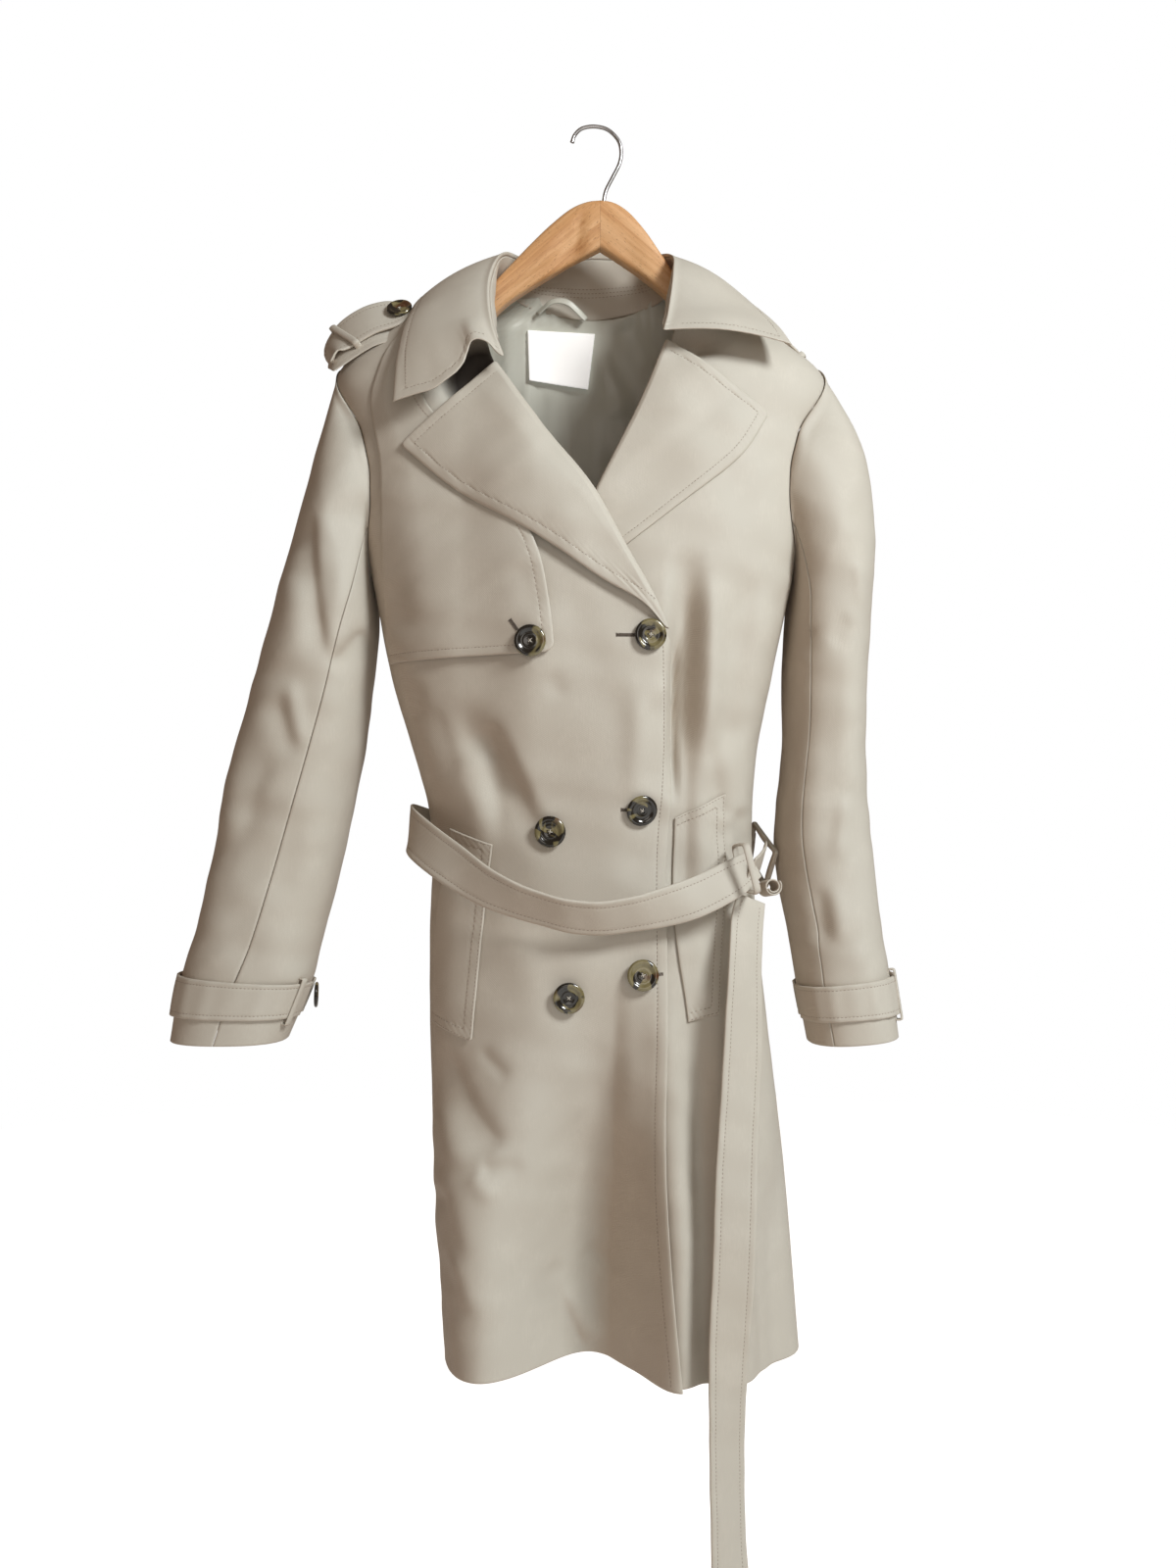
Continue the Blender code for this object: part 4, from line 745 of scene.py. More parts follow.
def sew(piece, base, above, length=STITCH_LENGTH, pitch=STITCH_PITCH, radius=STITCH_RADIUS):
    """Adds a row of stitches to a piece: base is the row's path on the cloth, above the same a little higher."""
    middle, share = even_path(base, pitch)
    if len(middle) < 2:
        return
    steps = np.concatenate([[0], np.cumsum(np.linalg.norm(np.diff(base, axis=0), axis=1))])
    reach = steps / steps[-1]
    up = unit(np.stack([np.interp(share, reach, (above - base)[:, axis]) for axis in range(3)], axis=-1))
    way = unit(np.gradient(middle, axis=0))
    side = unit(np.cross(way, up))
    profile = [(-0.5, 0.0, -0.9), (-0.34, 0.8, 0.0), (0.0, 1.0, 0.35), (0.34, 0.8, 0.0), (0.5, 0.0, -0.9)]
    rings = []
    for along, thick, rise in profile:
        centre = middle + way * along * length + up * radius * rise
        if thick == 0.0:
            rings.append(centre[:, None, :])
        else:
            offsets = [side, up * 0.8, -side, -up * 0.8]
            rings.append(np.stack([centre + offset * radius * thick for offset in offsets], axis=1))
    STITCHES.setdefault(piece, []).append(np.concatenate(rings, axis=1))


def stitch_faces():
    """Faces of one stitch: a point, three rings of four and a point."""
    faces = [[0, 1 + k, 1 + (k + 1) % 4] for k in range(4)]
    for ring in (1, 5):
        faces += [[ring + k, ring + 4 + k, ring + 4 + (k + 1) % 4, ring + (k + 1) % 4] for k in range(4)]
    faces += [[13, 9 + (k + 1) % 4, 9 + k] for k in range(4)]
    return faces


def finish_stitches(piece, finish="thread"):
    """Makes the stitches that were added to a piece one object beside it."""
    sewn = np.concatenate(STITCHES.pop(piece))
    one = stitch_faces()
    faces = [[k * 14 + i for i in face] for k in range(len(sewn)) for face in one]
    return new_piece(f"{piece}_stitches", sewn, faces, finish)


# ---- Fronts and back ------------------------------------------------------------------------------

# Inner edge of the right front: its neckline, its roll line and its straight front edge.
RIGHT_EDGE = Table("z x", [
    (NECK_Z, -0.0975),
    (-0.1800, -0.0965),
    (-0.2380, -0.0870),
    (-0.2770, -0.0610),
    (-0.3100, -0.0390),
    (-0.3630, -0.0010),
    (-0.4120, 0.0270),
    (-0.4560, 0.0510),
    (BREAK_Z, 0.0640),
    (-0.5300, 0.0680),
    (-0.5900, 0.0690),
    (-0.6960, 0.0630),
    (-0.8000, 0.0630),
    (-0.9900, 0.0620),
    (-1.0600, 0.0660),
    (HEM_Z, 0.0740),
])
LEFT_EDGE = Table("z x", [
    (NECK_Z, 0.0890),
    (-0.1800, 0.0740),
    (-0.2176, 0.0640),
    (-0.2796, 0.0380),
    (-0.3250, 0.0165),
    (-0.3571, 0.0010),
    (-0.4200, -0.0300),
    (-0.4750, -0.0500),
    (-0.5300, -0.0580),
    (-0.6300, -0.0560),
    (HEM_Z, -0.0500),
])
OVERLAP = Table("z lift", [(-1.15, 0.0095), (-0.66, 0.0085), (-0.52, 0.0120), (-0.14, 0.0120)])
ROLL_BACK = 0.0052  # how far the fronts' edges stay inside the rolled lapels


def front_lift(x, z):
    """How far the right front stands off the left one, which it laps over."""
    return OVERLAP("lift", z) * smooth_step((x + 0.120) / 0.070)


def hollow(x, z, place):
    middle_x, middle_z, across, down, depth = place
    return -depth * np.exp(-(((x - middle_x) / across) ** 2) - ((z - middle_z) / down) ** 2)


def no_lift(x, z):
    return np.zeros(np.broadcast(x, z).shape)


def right_front_lift(x, z):
    return front_lift(x, z) + hollow(x, z, RIGHT_HOLLOW)


def left_front_lift(x, z):
    return hollow(x, z, LEFT_HOLLOW)


def right_edge(z):
    return RIGHT_EDGE("x", z) - ROLL_BACK * smooth_step((z - BREAK_Z + 0.014) / 0.012)


def left_edge(z):
    return LEFT_EDGE("x", z) + ROLL_BACK * smooth_step((z + 0.415) / 0.02)


def back_edge(side):
    """Inner edge of a back panel: the back neckline, then the centre seam."""

    def edge(z):
        middle, half, _ = body_section(BACK, z)
        rise = np.clip((z - BACK_NECK_Z) / (NECK_Z - BACK_NECK_Z), 0.0, 1.0)
        return middle + side * (SEAM_GAP / 2 + (half - 0.008) * np.sqrt(rise))

    return edge


def groove(distance, depth=0.00022, width=0.0008):
    """The line that a row of stitches draws in, and the soft swell between it and the edge."""
    drawn = -depth * np.exp(-(((distance - SEAM_ROW) / width) ** 2))
    swell = 0.00010 * np.sin(math.pi * np.clip(distance / SEAM_ROW, 0, 1)) ** 2
    return drawn + swell


def puckers(x, z, distance):
    """Small gathers that a row of stitches leaves in the cloth."""
    near = np.exp(-(((distance - SEAM_ROW * 0.75) / 0.006) ** 2))
    return 0.00020 * near * np.sin((1.25 * x + z) * 2 * math.pi / 0.0068 + 2.0 * np.sin(z * 71))


def body_panel(name, face, side, edge, top, lift, sewn_from=None, pitch=MESH):
    """One panel of the body, from its outer seam to its inner edge."""
    height = top - HEM_Z
    z = top - height * spread([height], pitch)[0]
    outer, inner = seam_angle(face, side, z), body_angle(face, edge(z), z)
    share = np.linspace(0, 1, 90)
    paths = outer[:, None] + (inner - outer)[:, None] * share
    x = body_x(face, paths, z[:, None])
    y = BODY("front" if face == FRONT else "back", z)[:, None] * np.abs(np.sin(paths)) ** (2 / ROUND)
    length = np.cumsum(np.hypot(np.diff(x, axis=1), np.diff(y, axis=1)), axis=1)
    length = np.concatenate([np.zeros((len(z), 1)), length], axis=1)
    shares = spread(np.maximum(length[:, -1], 0.0012), pitch, end=SEWN_EDGE if sewn_from else PLAIN_EDGE)
    angle = np.stack([np.interp(s * run[-1], run, path) for s, run, path in zip(shares, length, paths)])
    z = np.broadcast_to(z[:, None], angle.shape)
    x = body_x(face, angle, z)
    raised = lift(x, z)
    if sewn_from:
        distance = (1 - shares) * length[:, -1:]
        started = smooth_step((sewn_from - z) / 0.012)
        raised = raised + started * (groove(distance) + puckers(x, z, distance))
    return wall(name, lambda more: body_surface(face, angle, z, raised + more), z.shape, stands_for=[name[:-6]])


def make_body():
    made = {}
    made["front_right"] = body_panel(
        "front_right_cloth", FRONT, RIGHT, right_edge, NECK_Z, right_front_lift, sewn_from=BREAK_Z - 0.008
    )
    made["front_left"] = body_panel("front_left_cloth", FRONT, LEFT, left_edge, NECK_Z, left_front_lift)
    for side, word in SIDES:
        made[f"back_{word}"] = body_panel(
            f"back_{word}_cloth", BACK, side, back_edge(side), NECK_Z, no_lift, pitch=BROAD
        )
    z = np.linspace(BREAK_Z - 0.012, HEM_Z + 0.004, 300)
    x = RIGHT_EDGE("x", z) - SEAM_ROW
    row = [on_body(FRONT, x, z, front_lift(x, z) + up) for up in (0.0, 0.001)]
    sew("front_right", *row)
    made["front_right_stitches"] = finish_stitches("front_right")
    return made


# ---- What lies on the body: storm shield, gun flap, lapels and pockets ----------------------------

PATCH = "v start_x start_z end_x end_z"
SHIELD = Table(PATCH, [
    (0.00, -0.1330, -0.1780, 0.1260, -0.1780),
    (0.15, -0.1770, -0.2120, 0.1610, -0.2120),
    (0.30, -0.1950, -0.2620, 0.1740, -0.2620),
    (0.60, -0.1900, -0.3700, 0.1660, -0.3700),
    (1.00, -0.1870, SHIELD_Z, 0.1680, SHIELD_Z),
])
SHIELD_DIP = 0.022
GUN_FLAP = Table(PATCH, [
    (0.00, -0.1400, -0.1800, -0.1060, -0.1740),
    (0.12, -0.1820, -0.2130, -0.1400, -0.2150),
    (0.25, -0.2020, -0.2620, -0.1560, -0.2650),
    (0.45, -0.1940, -0.3300, -0.1000, -0.3350),
    (0.65, -0.1930, -0.4000, -0.0550, -0.4050),
    (0.85, -0.1930, -0.4650, -0.0400, -0.4630),
    (1.00, -0.1880, FLAP_Z, -0.0350, -0.5070),
])
# The lapels' rows run from the roll line out to the free edge; the first row is the gorge.
LAPEL_RIGHT = Table(PATCH, [
    (0.00, -0.0880, -0.2450, -0.1725, -0.3190),
    (0.25, -0.0470, -0.3050, -0.1230, -0.3620),
    (0.50, -0.0020, -0.3620, -0.0515, -0.4057),
    (0.72, 0.0270, -0.4140, 0.0050, -0.4440),
    (0.88, 0.0510, -0.4580, 0.0410, -0.4650),
    (1.00, 0.0640, -0.4860, 0.0605, -0.4850),
])
LAPEL_LEFT = Table(PATCH, [
    (0.00, 0.0640, -0.2185, 0.1570, -0.2870),
    (0.33, 0.0390, -0.2800, 0.1290, -0.3290),
    (0.66, 0.0020, -0.3560, 0.0740, -0.3740),
    (1.00, -0.0260, -0.4150, 0.0080, -0.4260),
])
POCKET_RIGHT = Table(PATCH, [
    (0.0, -0.1310, -0.6620, -0.0897, -0.6756),
    (0.5, -0.1460, -0.7500, -0.0995, -0.7550),
    (1.0, -0.1480, -0.8390, -0.1090, -0.8525),
])
POCKET_LEFT = Table(PATCH, [
    (0.0, 0.0720, -0.6530, 0.1180, -0.6310),
    (0.5, 0.0700, -0.7420, 0.1150, -0.7300),
    (1.0, 0.0820, -0.8334, 0.1084, -0.8268),
])


def flat_place(table, v, u):
    """x and z at the two shares of a patch: down its rows and across from its start to its end."""
    x = table("start_x", v) + (table("end_x", v) - table("start_x", v)) * u
    z = table("start_z", v) + (table("end_z", v) - table("start_z", v)) * u
    return x, z


def patch_width(table, v):
    start, end = flat_place(table, v, 0.0), flat_place(table, v, 1.0)
    return np.hypot(end[0] - start[0], end[1] - start[1])


def patch_height(table, u):
    """Length from the first row to the last, along that share across."""
    v = np.linspace(0, 1, 30)[:, None]
    x, z = flat_place(table, v, np.atleast_1d(np.asarray(u, float))[None, :])
    return np.hypot(np.diff(x, axis=0), np.diff(z, axis=0)).sum(axis=0)


class Laid:
    """A piece of cloth that lies on the body. Its sewn sides are among first, last, start and end."""

    def __init__(self, name, face, table, lift, sewn=(), edge=SEWN_EDGE, dip=0.0, corners=(), radius=0.008):
        self.name, self.face, self.table, self.lift = name, face, table, lift
        self.sewn, self.edge, self.dip, self.corners, self.radius = sewn, edge, dip, corners, radius
        self.height = float(patch_height(table, 0.5)[0])

    def distances(self, v, u):
        """Distance in from each side."""
        width = patch_width(self.table, v)
        return {
            "start": u * width,
            "end": (1 - u) * width,
            "first": v * self.height,
            "last": (1 - v) * self.height,
        }

    def rounded(self, v, u):
        """The two shares, with the named corners drawn in to a round."""
        width = patch_width(self.table, v)
        for across, down in self.corners:
            from_side = (u if across == "start" else 1 - u) * width
            from_end = (v if down == "first" else 1 - v) * self.height
            a = np.clip(1 - from_side / self.radius, 0.0, 1.0)
            b = np.clip(1 - from_end / self.radius, 0.0, 1.0)
            pull_a = self.radius * a * (1 - np.sqrt(1 - b * b / 2))
            pull_b = self.radius * b * (1 - np.sqrt(1 - a * a / 2))
            u = u + (1 if across == "start" else -1) * pull_a / width
            v = v + (1 if down == "first" else -1) * pull_b / self.height
        return v, u

    def place(self, v, u, more=0.0):
        v, u = np.broadcast_arrays(np.asarray(v, float), np.asarray(u, float))
        inward = [self.distances(v, u)[side] for side in self.sewn]
        v, u = self.rounded(v, u)
        x, z = flat_place(self.table, v, u)
        z = z - self.dip * v**2 * np.sin(math.pi * u)
        raised = self.lift(x, z, v, u)
        if inward:
            nearest = np.minimum.reduce(inward)
            raised = raised + groove(nearest) + puckers(x, z, nearest)
        return on_body(self.face, x, z, raised + more)

    def make(self, pitch=FINE):
        ends = [self.edge if side in self.sewn else PLAIN_EDGE for side in ("first", "last", "start", "end")]
        v = spread([self.height], pitch, ends[0], ends[1])[0]
        u = spread(patch_width(self.table, v), pitch, ends[2], ends[3])
        v = np.broadcast_to(v[:, None], u.shape)
        return wall(self.name + "_cloth", lambda more: self.place(v, u, more), u.shape, stands_for=[self.name])

    def row(self, side, inset=SEAM_ROW, begin=0.004, end=0.004):
        """Sews a row beside one side, from begin to end short of its corners."""
        t = np.linspace(0, 1, 160)
        if side in ("start", "end"):
            v = begin / self.height + (1 - (begin + end) / self.height) * t
            u = inset / patch_width(self.table, v)
            u = u if side == "start" else 1 - u
        else:
            v = np.full(160, inset / self.height if side == "first" else 1 - inset / self.height)
            width = patch_width(self.table, v)
            u = begin / width + (1 - (begin + end) / width) * t
        sew(self.name, self.place(v, u), self.place(v, u, 0.001))


def lapel_roll(v, u):
    """How far a lapel swells off the chest between its roll line and its free edge."""
    return 0.0045 * np.sin(math.pi * np.clip(u, 0, 1)) ** 0.7 * np.sin(math.pi * np.clip(0.15 + 0.85 * v, 0, 1))


class Lapel(Laid):
    """A lapel that rolls over its front's edge and runs on inside as the facing."""

    inside = (0.014, 0.010, 0.006, 0.003)

    def __init__(self, name, table, lift, below, **sides):
        super().__init__(name, FRONT, table, lift, **sides)
        self.below = below

    def rolled(self, v, k, more):
        """k counts from -2 at the facing's inner end through -1 to 0 round the roll; more follows the thickness."""
        x, z = flat_place(self.table, v, 0.0)
        end_x, end_z = flat_place(self.table, v, 1.0)
        width = patch_width(self.table, v)
        top = self.lift(x, z, v, 0.0)
        low = self.below(x, z)
        radius = (top - low) / 2
        turn = np.clip(-k, 0, 1) * math.pi
        back = np.clip(-k - 1, 0, 1) * self.inside[0]
        across = radius - (radius + more) * np.sin(turn) + back
        height = (top + low) / 2 + (radius + more) * np.cos(turn)
        x, z = x + (end_x - x) * across / width, z + (end_z - z) * across / width
        return on_body(FRONT, x, z, height)

    def make(self, pitch=FINE):
        v = spread([self.height], pitch, self.edge, PLAIN_EDGE)[0]
        width = patch_width(self.table, v)
        x, z = flat_place(self.table, v, 0.0)
        radius = (self.lift(x, z, v, 0.0 * v) - self.below(x, z)) / 2
        u = spread(np.maximum(width - radius, 0.0015), pitch, PLAIN_EDGE, self.edge)
        u = radius[:, None] / width[:, None] + u * (1 - radius / width)[:, None]
        back = [-1 - d / self.inside[0] for d in (*self.inside[:1], self.inside[0] - RIM_STEP, *self.inside[1:])]
        k = np.array(back + list(np.linspace(-1, 0, 11)[:-1]))[None, :]
        v_roll, v_flat = v[:, None], np.broadcast_to(v[:, None], u.shape)
        shape = (len(v), k.shape[1] + u.shape[1])

        def face_at(more):
            roll = self.rolled(np.broadcast_to(v_roll, (len(v), k.shape[1])), k, more[:, : k.shape[1]])
            flat = self.place(v_flat, u, more[:, k.shape[1] :])
            return np.concatenate([roll, flat], axis=1)

        return wall(self.name + "_cloth", face_at, shape, stands_for=[self.name])


def right_lapel_lift(x, z, v, u):
    settle = 1 - smooth_step((v - 0.86) / 0.14)
    stand = 0.0026 + 0.0040 * settle + 0.0030 * smooth_step(u / 0.25) * (1 - v)
    drape = 0.0022 * np.sin(math.pi * u) * np.sin(5.2 * v + 0.8)
    return front_lift(x, z) + stand + lapel_roll(v, u) + drape


def left_lapel_lift(x, z, v, u):
    drape = 0.0030 * np.sin(math.pi * u) ** 2 * np.sin(6.0 * u + 3.0 * v)
    return 0.0034 + lapel_roll(v, u) * (1 - smooth_step((v - 0.35) / 0.35)) + drape * (1 - v)


def make_laid_pieces():
    made = {}
    shield = Laid("storm_shield", BACK, SHIELD, lambda x, z, v, u: 0.0042 + 0.0030 * v**2, ["last"], dip=SHIELD_DIP)
    flap = Laid(
        "gun_flap_right",
        FRONT,
        GUN_FLAP,
        lambda x, z, v, u: front_lift(x, z) + 0.0027 + 0.0030 * smooth_step(u / 0.3) * smooth_step(v / 0.6),
        ["last", "end"],
        corners=[("end", "last")],
        radius=0.012,
    )
    lapel_right = Lapel(
        "lapel_right",
        LAPEL_RIGHT,
        right_lapel_lift,
        lambda x, z: front_lift(x, z) - CLOTH - 0.0023,
        sewn=["first", "end"],
        corners=[("end", "first")],
        radius=0.006,
    )
    lapel_left = Lapel(
        "lapel_left",
        LAPEL_LEFT,
        left_lapel_lift,
        lambda x, z: -CLOTH - 0.0023 + 0.0 * x,
        sewn=["first", "end"],
        corners=[("end", "first")],
        radius=0.006,
    )
    pocket_right = Laid(
        "pocket_right",
        FRONT,
        POCKET_RIGHT,
        lambda x, z, v, u: front_lift(x, z) + 0.0027 + 0.0009 * smooth_step(u / 0.5),
        ["first", "last", "end"],
        edge=DOUBLE_EDGE,
        corners=[("end", "last")],
        radius=0.004,
    )
    pocket_left = Laid(
        "pocket_left",
        FRONT,
        POCKET_LEFT,
        lambda x, z, v, u: 0.0027 + 0.0007 * smooth_step(u / 0.5),
        ["first", "last", "end"],
        edge=DOUBLE_EDGE,
    )
    for piece in (shield, flap, lapel_right, lapel_left, pocket_right, pocket_left):
        made[piece.name] = piece.make(LAID_MESH.get(piece.name, FINE))
    shield.row("last", begin=0.001, end=0.001)
    flap.row("last", begin=0.002, end=0.014)
    flap.row("end", begin=0.060, end=0.014)
    lapel_right.row("first", begin=0.008, end=SEAM_ROW)
    lapel_right.row("end", begin=SEAM_ROW, end=0.030)
    lapel_left.row("first", begin=0.008, end=SEAM_ROW)
    lapel_left.row("end", begin=SEAM_ROW, end=0.004)
    for piece in (pocket_right, pocket_left):
        for side in ("first", "last", "end"):
            for inset in (0.0017, 0.0080):
                piece.row(side, inset, begin=inset if side == "end" else 0.002, end=inset)
    for piece in (shield, flap, lapel_right, lapel_left, pocket_right, pocket_left):
        made[piece.name + "_stitches"] = finish_stitches(piece.name)
    return made


# ---- Collar ---------------------------------------------------------------------------------------

# From its right front end, round the back of the neck, to its left front end.
COLLAR_FALL = Table("s fold_x fold_y fold_z edge_x edge_y edge_z", [
    (0.00, -0.0840, -0.1020, -0.2450, -0.1795, -0.0930, -0.2833),
    (0.10, -0.0965, -0.0830, -0.2050, -0.1780, -0.0740, -0.2350),
    (0.20, -0.0990, -0.0500, -0.1580, -0.1720, -0.0440, -0.1920),
    (0.29, -0.0885, -0.0080, -0.1220, -0.1620, 0.0050, -0.1635),
    (0.38, -0.0640, 0.0400, -0.1110, -0.1200, 0.0695, -0.1800),
    (0.50, -0.0040, 0.0580, -0.0970, -0.0040, 0.0880, -0.1900),
    (0.62, 0.0500, 0.0400, -0.1080, 0.1020, 0.0690, -0.1800),
    (0.71, 0.0730, -0.0080, -0.1235, 0.1290, 0.0050, -0.1620),
    (0.82, 0.0745, -0.0470, -0.1520, 0.1530, -0.0360, -0.1840),
    (0.92, 0.0690, -0.0700, -0.1930, 0.1680, -0.0620, -0.2080),
    (1.00, 0.0640, -0.0880, -0.2176, 0.1763, -0.0790, -0.2278),
])
COLLAR_STAND = Table("s low_x low_y low_z", [
    (0.05, -0.0880, -0.0700, -0.2290),
    (0.20, -0.0930, -0.0300, -0.1760),
    (0.29, -0.0955, 0.0000, -0.1420),
    (0.38, -0.0700, 0.0370, -0.1550),
    (0.50, -0.0040, 0.0470, -0.1672),
    (0.62, 0.0600, 0.0370, -0.1550),
    (0.71, 0.0870, 0.0000, -0.1420),
    (0.82, 0.0700, -0.0300, -0.1740),
    (0.95, 0.0620, -0.0640, -0.2080),
])
# How far its right front end curls off a straight line between the fold and the point of the collar
COLLAR_BOW = Table("t x z", [
    (0.00, 0.0000, 0.0000),
    (0.10, -0.0026, 0.0150),
    (0.20, -0.0026, 0.0200),
    (0.30, 0.0043, 0.0150),
    (0.40, 0.0113, 0.0096),
    (0.50, 0.0139, 0.0035),
    (0.60, 0.0130, -0.0009),
    (0.70, 0.0113, -0.0043),
    (0.85, 0.0060, -0.0026),
    (1.00, 0.0000, 0.0000),
])
COLLAR_CREASES = [
    (0.02, 0.10, 0.7, 0.0030),
    (0.16, 0.06, 0.5, -0.0025),
    (0.86, 0.05, 0.6, -0.0030),
    (0.95, 0.05, 0.4, 0.0025),
]


def collar_fall(s, t, more=0.0):
    """Point of the collar's outer face: s runs round the neck, t from its fold to its free edge."""
    s, t = np.broadcast_arrays(np.asarray(s, float), np.asarray(t, float))

    def flat(s, t):
        fold, edge = COLLAR_FALL.point("fold", s), COLLAR_FALL.point("edge", s)
        bow = np.stack([COLLAR_BOW("x", t), 0 * t, COLLAR_BOW("z", t)], axis=-1)
        return fold + (edge - fold) * t[..., None] + bow * smooth_step(1 - s / 0.13)[..., None]

    step = 0.004
    along = flat(np.clip(s + step, 0, 1), t) - flat(np.clip(s - step, 0, 1), t)
    down = flat(s, t + step) - flat(s, t - step)
    normal = unit(np.cross(along, down))
    puff = 0.0065 * np.sin(math.pi * np.clip(t, 0, 1)) ** 0.8
    for at, width, deepest, height in COLLAR_CREASES:
        puff = puff + height * np.exp(-(((s - at) / width) ** 2)) * np.exp(-(((t - deepest) / 0.3) ** 2))
    edge = (1 - t) * np.linalg.norm(down, axis=-1) / (2 * step)
    front = np.minimum(s, 1 - s) * np.linalg.norm(along, axis=-1) / (2 * step)
    nearest = np.minimum(edge, front)
    puff = puff + groove(nearest) + puckers(s * 0.5, t * 0.09, nearest)
    return flat(s, t) + normal * (puff + more)[..., None]


def collar_stand_face(s, q, more=0.0):
    """Point of the stand's face towards the neck: q runs from the fold down to the neck seam."""
    s, q = np.broadcast_arrays(np.asarray(s, float), np.asarray(q, float))
    fold, low = COLLAR_FALL.point("fold", s), COLLAR_STAND.point("low", s)
    edge = COLLAR_FALL.point("edge", s)
    away = unit(fold - edge) * np.array([1.0, 1.0, 0.0])
    top = fold + away * 0.0042
    ahead = np.clip(s + 0.004, 0, 1)
    along = COLLAR_FALL.point("fold", ahead) - COLLAR_FALL.point("fold", np.clip(s - 0.004, 0, 1))
    normal = unit(np.cross(low - top, along))
    bulge = 0.0020 * np.sin(math.pi * q) + 0.0008 * np.sin(s * 60) * q
    return top + (low - top) * q[..., None] + normal * (bulge + more)[..., None]


def make_collar():
    made = {}
    length = 0.52
    s = spread([length], FINE, SEWN_EDGE, SEWN_EDGE)[0]
    width = np.linalg.norm(COLLAR_FALL.point("edge", s) - COLLAR_FALL.point("fold", s), axis=-1)
    start = 0.004
    t = spread(width - start, FINE, (0.0,), SEWN_EDGE)
    t = start / width[:, None] + t * (1 - start / width[:, None])
    bend = np.linspace(0, 1, 10)[None, :]
    stand_end = 0.10
    grid_s = np.broadcast_to(s[:, None], t.shape)

    def face_at(more):
        fall = collar_fall(grid_s, t, more[:, 10:])
        first, second = fall[:, :1], fall[:, 1:2]
        stand = collar_stand_face(s[:, None], np.array([[stand_end, stand_end + 0.03]]), more[:, :1])
        low, lower = stand[:, :1], stand[:, 1:2]
        reach = 0.0075 + more[:, :1, None] * 1.2
        rise_fall, rise_stand = unit(first - second) * reach, unit(low - lower) * reach
        w = bend[..., None]
        curve = (
            (1 - w) ** 3 * low
            + 3 * w * (1 - w) ** 2 * (low + rise_stand)
            + 3 * w * w * (1 - w) * (first + rise_fall)
            + w**3 * first
        )
        return np.concatenate([curve, fall], axis=1)[:, :]

    def without_double(more):
        grid = face_at(more)
        return np.delete(grid, 10, axis=1)

    shape = (len(s), t.shape[1] + 9)

    def padded(more):
        more = np.broadcast_to(more, shape)
        wide = np.concatenate([more[:, :10], more[:, 9:]], axis=1)
        return without_double(wide)

    made["collar_fall"] = wall("collar_fall_cloth", padded, shape, thickness=0.0016, stands_for=["collar_fall"])
    near = SEAM_ROW
    path = np.linspace(0, 1, 400)
    lengths = np.interp(path, s, width)
    inset = near / length
    across = 1 - near / lengths
    keep = (path > inset) & (path < 1 - inset)
    sew("collar_fall", collar_fall(path[keep], across[keep]), collar_fall(path[keep], across[keep], 0.001))
    for end in (inset, 1 - inset):
        t_row = np.linspace(0.10, 1 - near / np.interp(end, s, width), 80)
        sew("collar_fall", collar_fall(end + 0 * t_row, t_row), collar_fall(end + 0 * t_row, t_row, 0.001))
    made["collar_fall_stitches"] = finish_stitches("collar_fall")
    q = spread([0.06], FINE)[0] * (1 - stand_end - 0.01) + stand_end + 0.01
    along = 0.05 + 0.90 * spread([0.40], FINE)[0]
    q, along = np.broadcast_arrays(q[None, :], along[:, None])
    made["collar_stand"] = wall(
        "collar_stand_cloth",
        lambda more: collar_stand_face(along, q, more),
        q.shape,
        thickness=0.0016,
        stands_for=["collar_stand"],
    )
    for row in (0.56, 0.62, 0.68):
        s_row = np.linspace(0.36, 0.64, 120)
        row_q = row + 0 * s_row
        sew("collar_stand", collar_stand_face(s_row, row_q), collar_stand_face(s_row, row_q, 0.001))
    made["collar_stand_stitches"] = finish_stitches("collar_stand")
    return made


# ---- Sleeves --------------------------------------------------------------------------------------

SLEEVE = "v outer_x outer_z inner_x inner_z depth y front_seam"
SLEEVE_RIGHT = Table(SLEEVE, [
    (0.00, -0.2370, -0.2310, -0.2090, -0.4300, 0.064, 0.000, 126),
    (0.10, -0.2560, -0.2900, -0.2065, -0.4700, 0.070, 0.000, 120),
    (0.22, -0.2800, -0.3720, -0.2105, -0.5200, 0.070, -0.002, 112),
    (0.36, -0.3060, -0.4730, -0.2180, -0.5850, 0.066, -0.004, 106),
    (0.54, -0.3410, -0.6040, -0.2360, -0.6800, 0.060, -0.007, 100),
    (0.74, -0.3690, -0.7430, -0.2570, -0.7680, 0.054, -0.012, 93),
    (0.88, -0.3870, -0.8060, -0.2680, -0.8120, 0.050, -0.016, 89),
    (1.00, -0.3955, -0.8600, -0.2880, -0.8600, 0.047, -0.018, 86),
])
SLEEVE_LEFT = Table(SLEEVE, [
    (0.00, 0.2100, -0.2310, 0.1850, -0.4300, 0.064, 0.000, 122),
    (0.10, 0.2460, -0.2900, 0.1815, -0.4700, 0.070, 0.000, 122),
    (0.22, 0.2620, -0.3720, 0.1780, -0.5220, 0.070, -0.002, 122),
    (0.36, 0.2580, -0.4730, 0.1780, -0.5900, 0.066, -0.004, 122),
    (0.54, 0.2530, -0.6040, 0.1700, -0.6800, 0.060, -0.008, 121),
    (0.74, 0.2660, -0.7430, 0.1830, -0.7680, 0.054, -0.014, 120),
    (0.88, 0.2760, -0.8060, 0.1900, -0.8140, 0.050, -0.018, 121),
    (1.00, 0.2825, -0.8560, 0.1990, -0.8620, 0.047, -0.020, 121),
])
SLEEVE_ROUND = 2.3
BACK_SEAM = 238
CUFF_STRAP = (0.862, 0.945)  # shares of the way down the sleeve

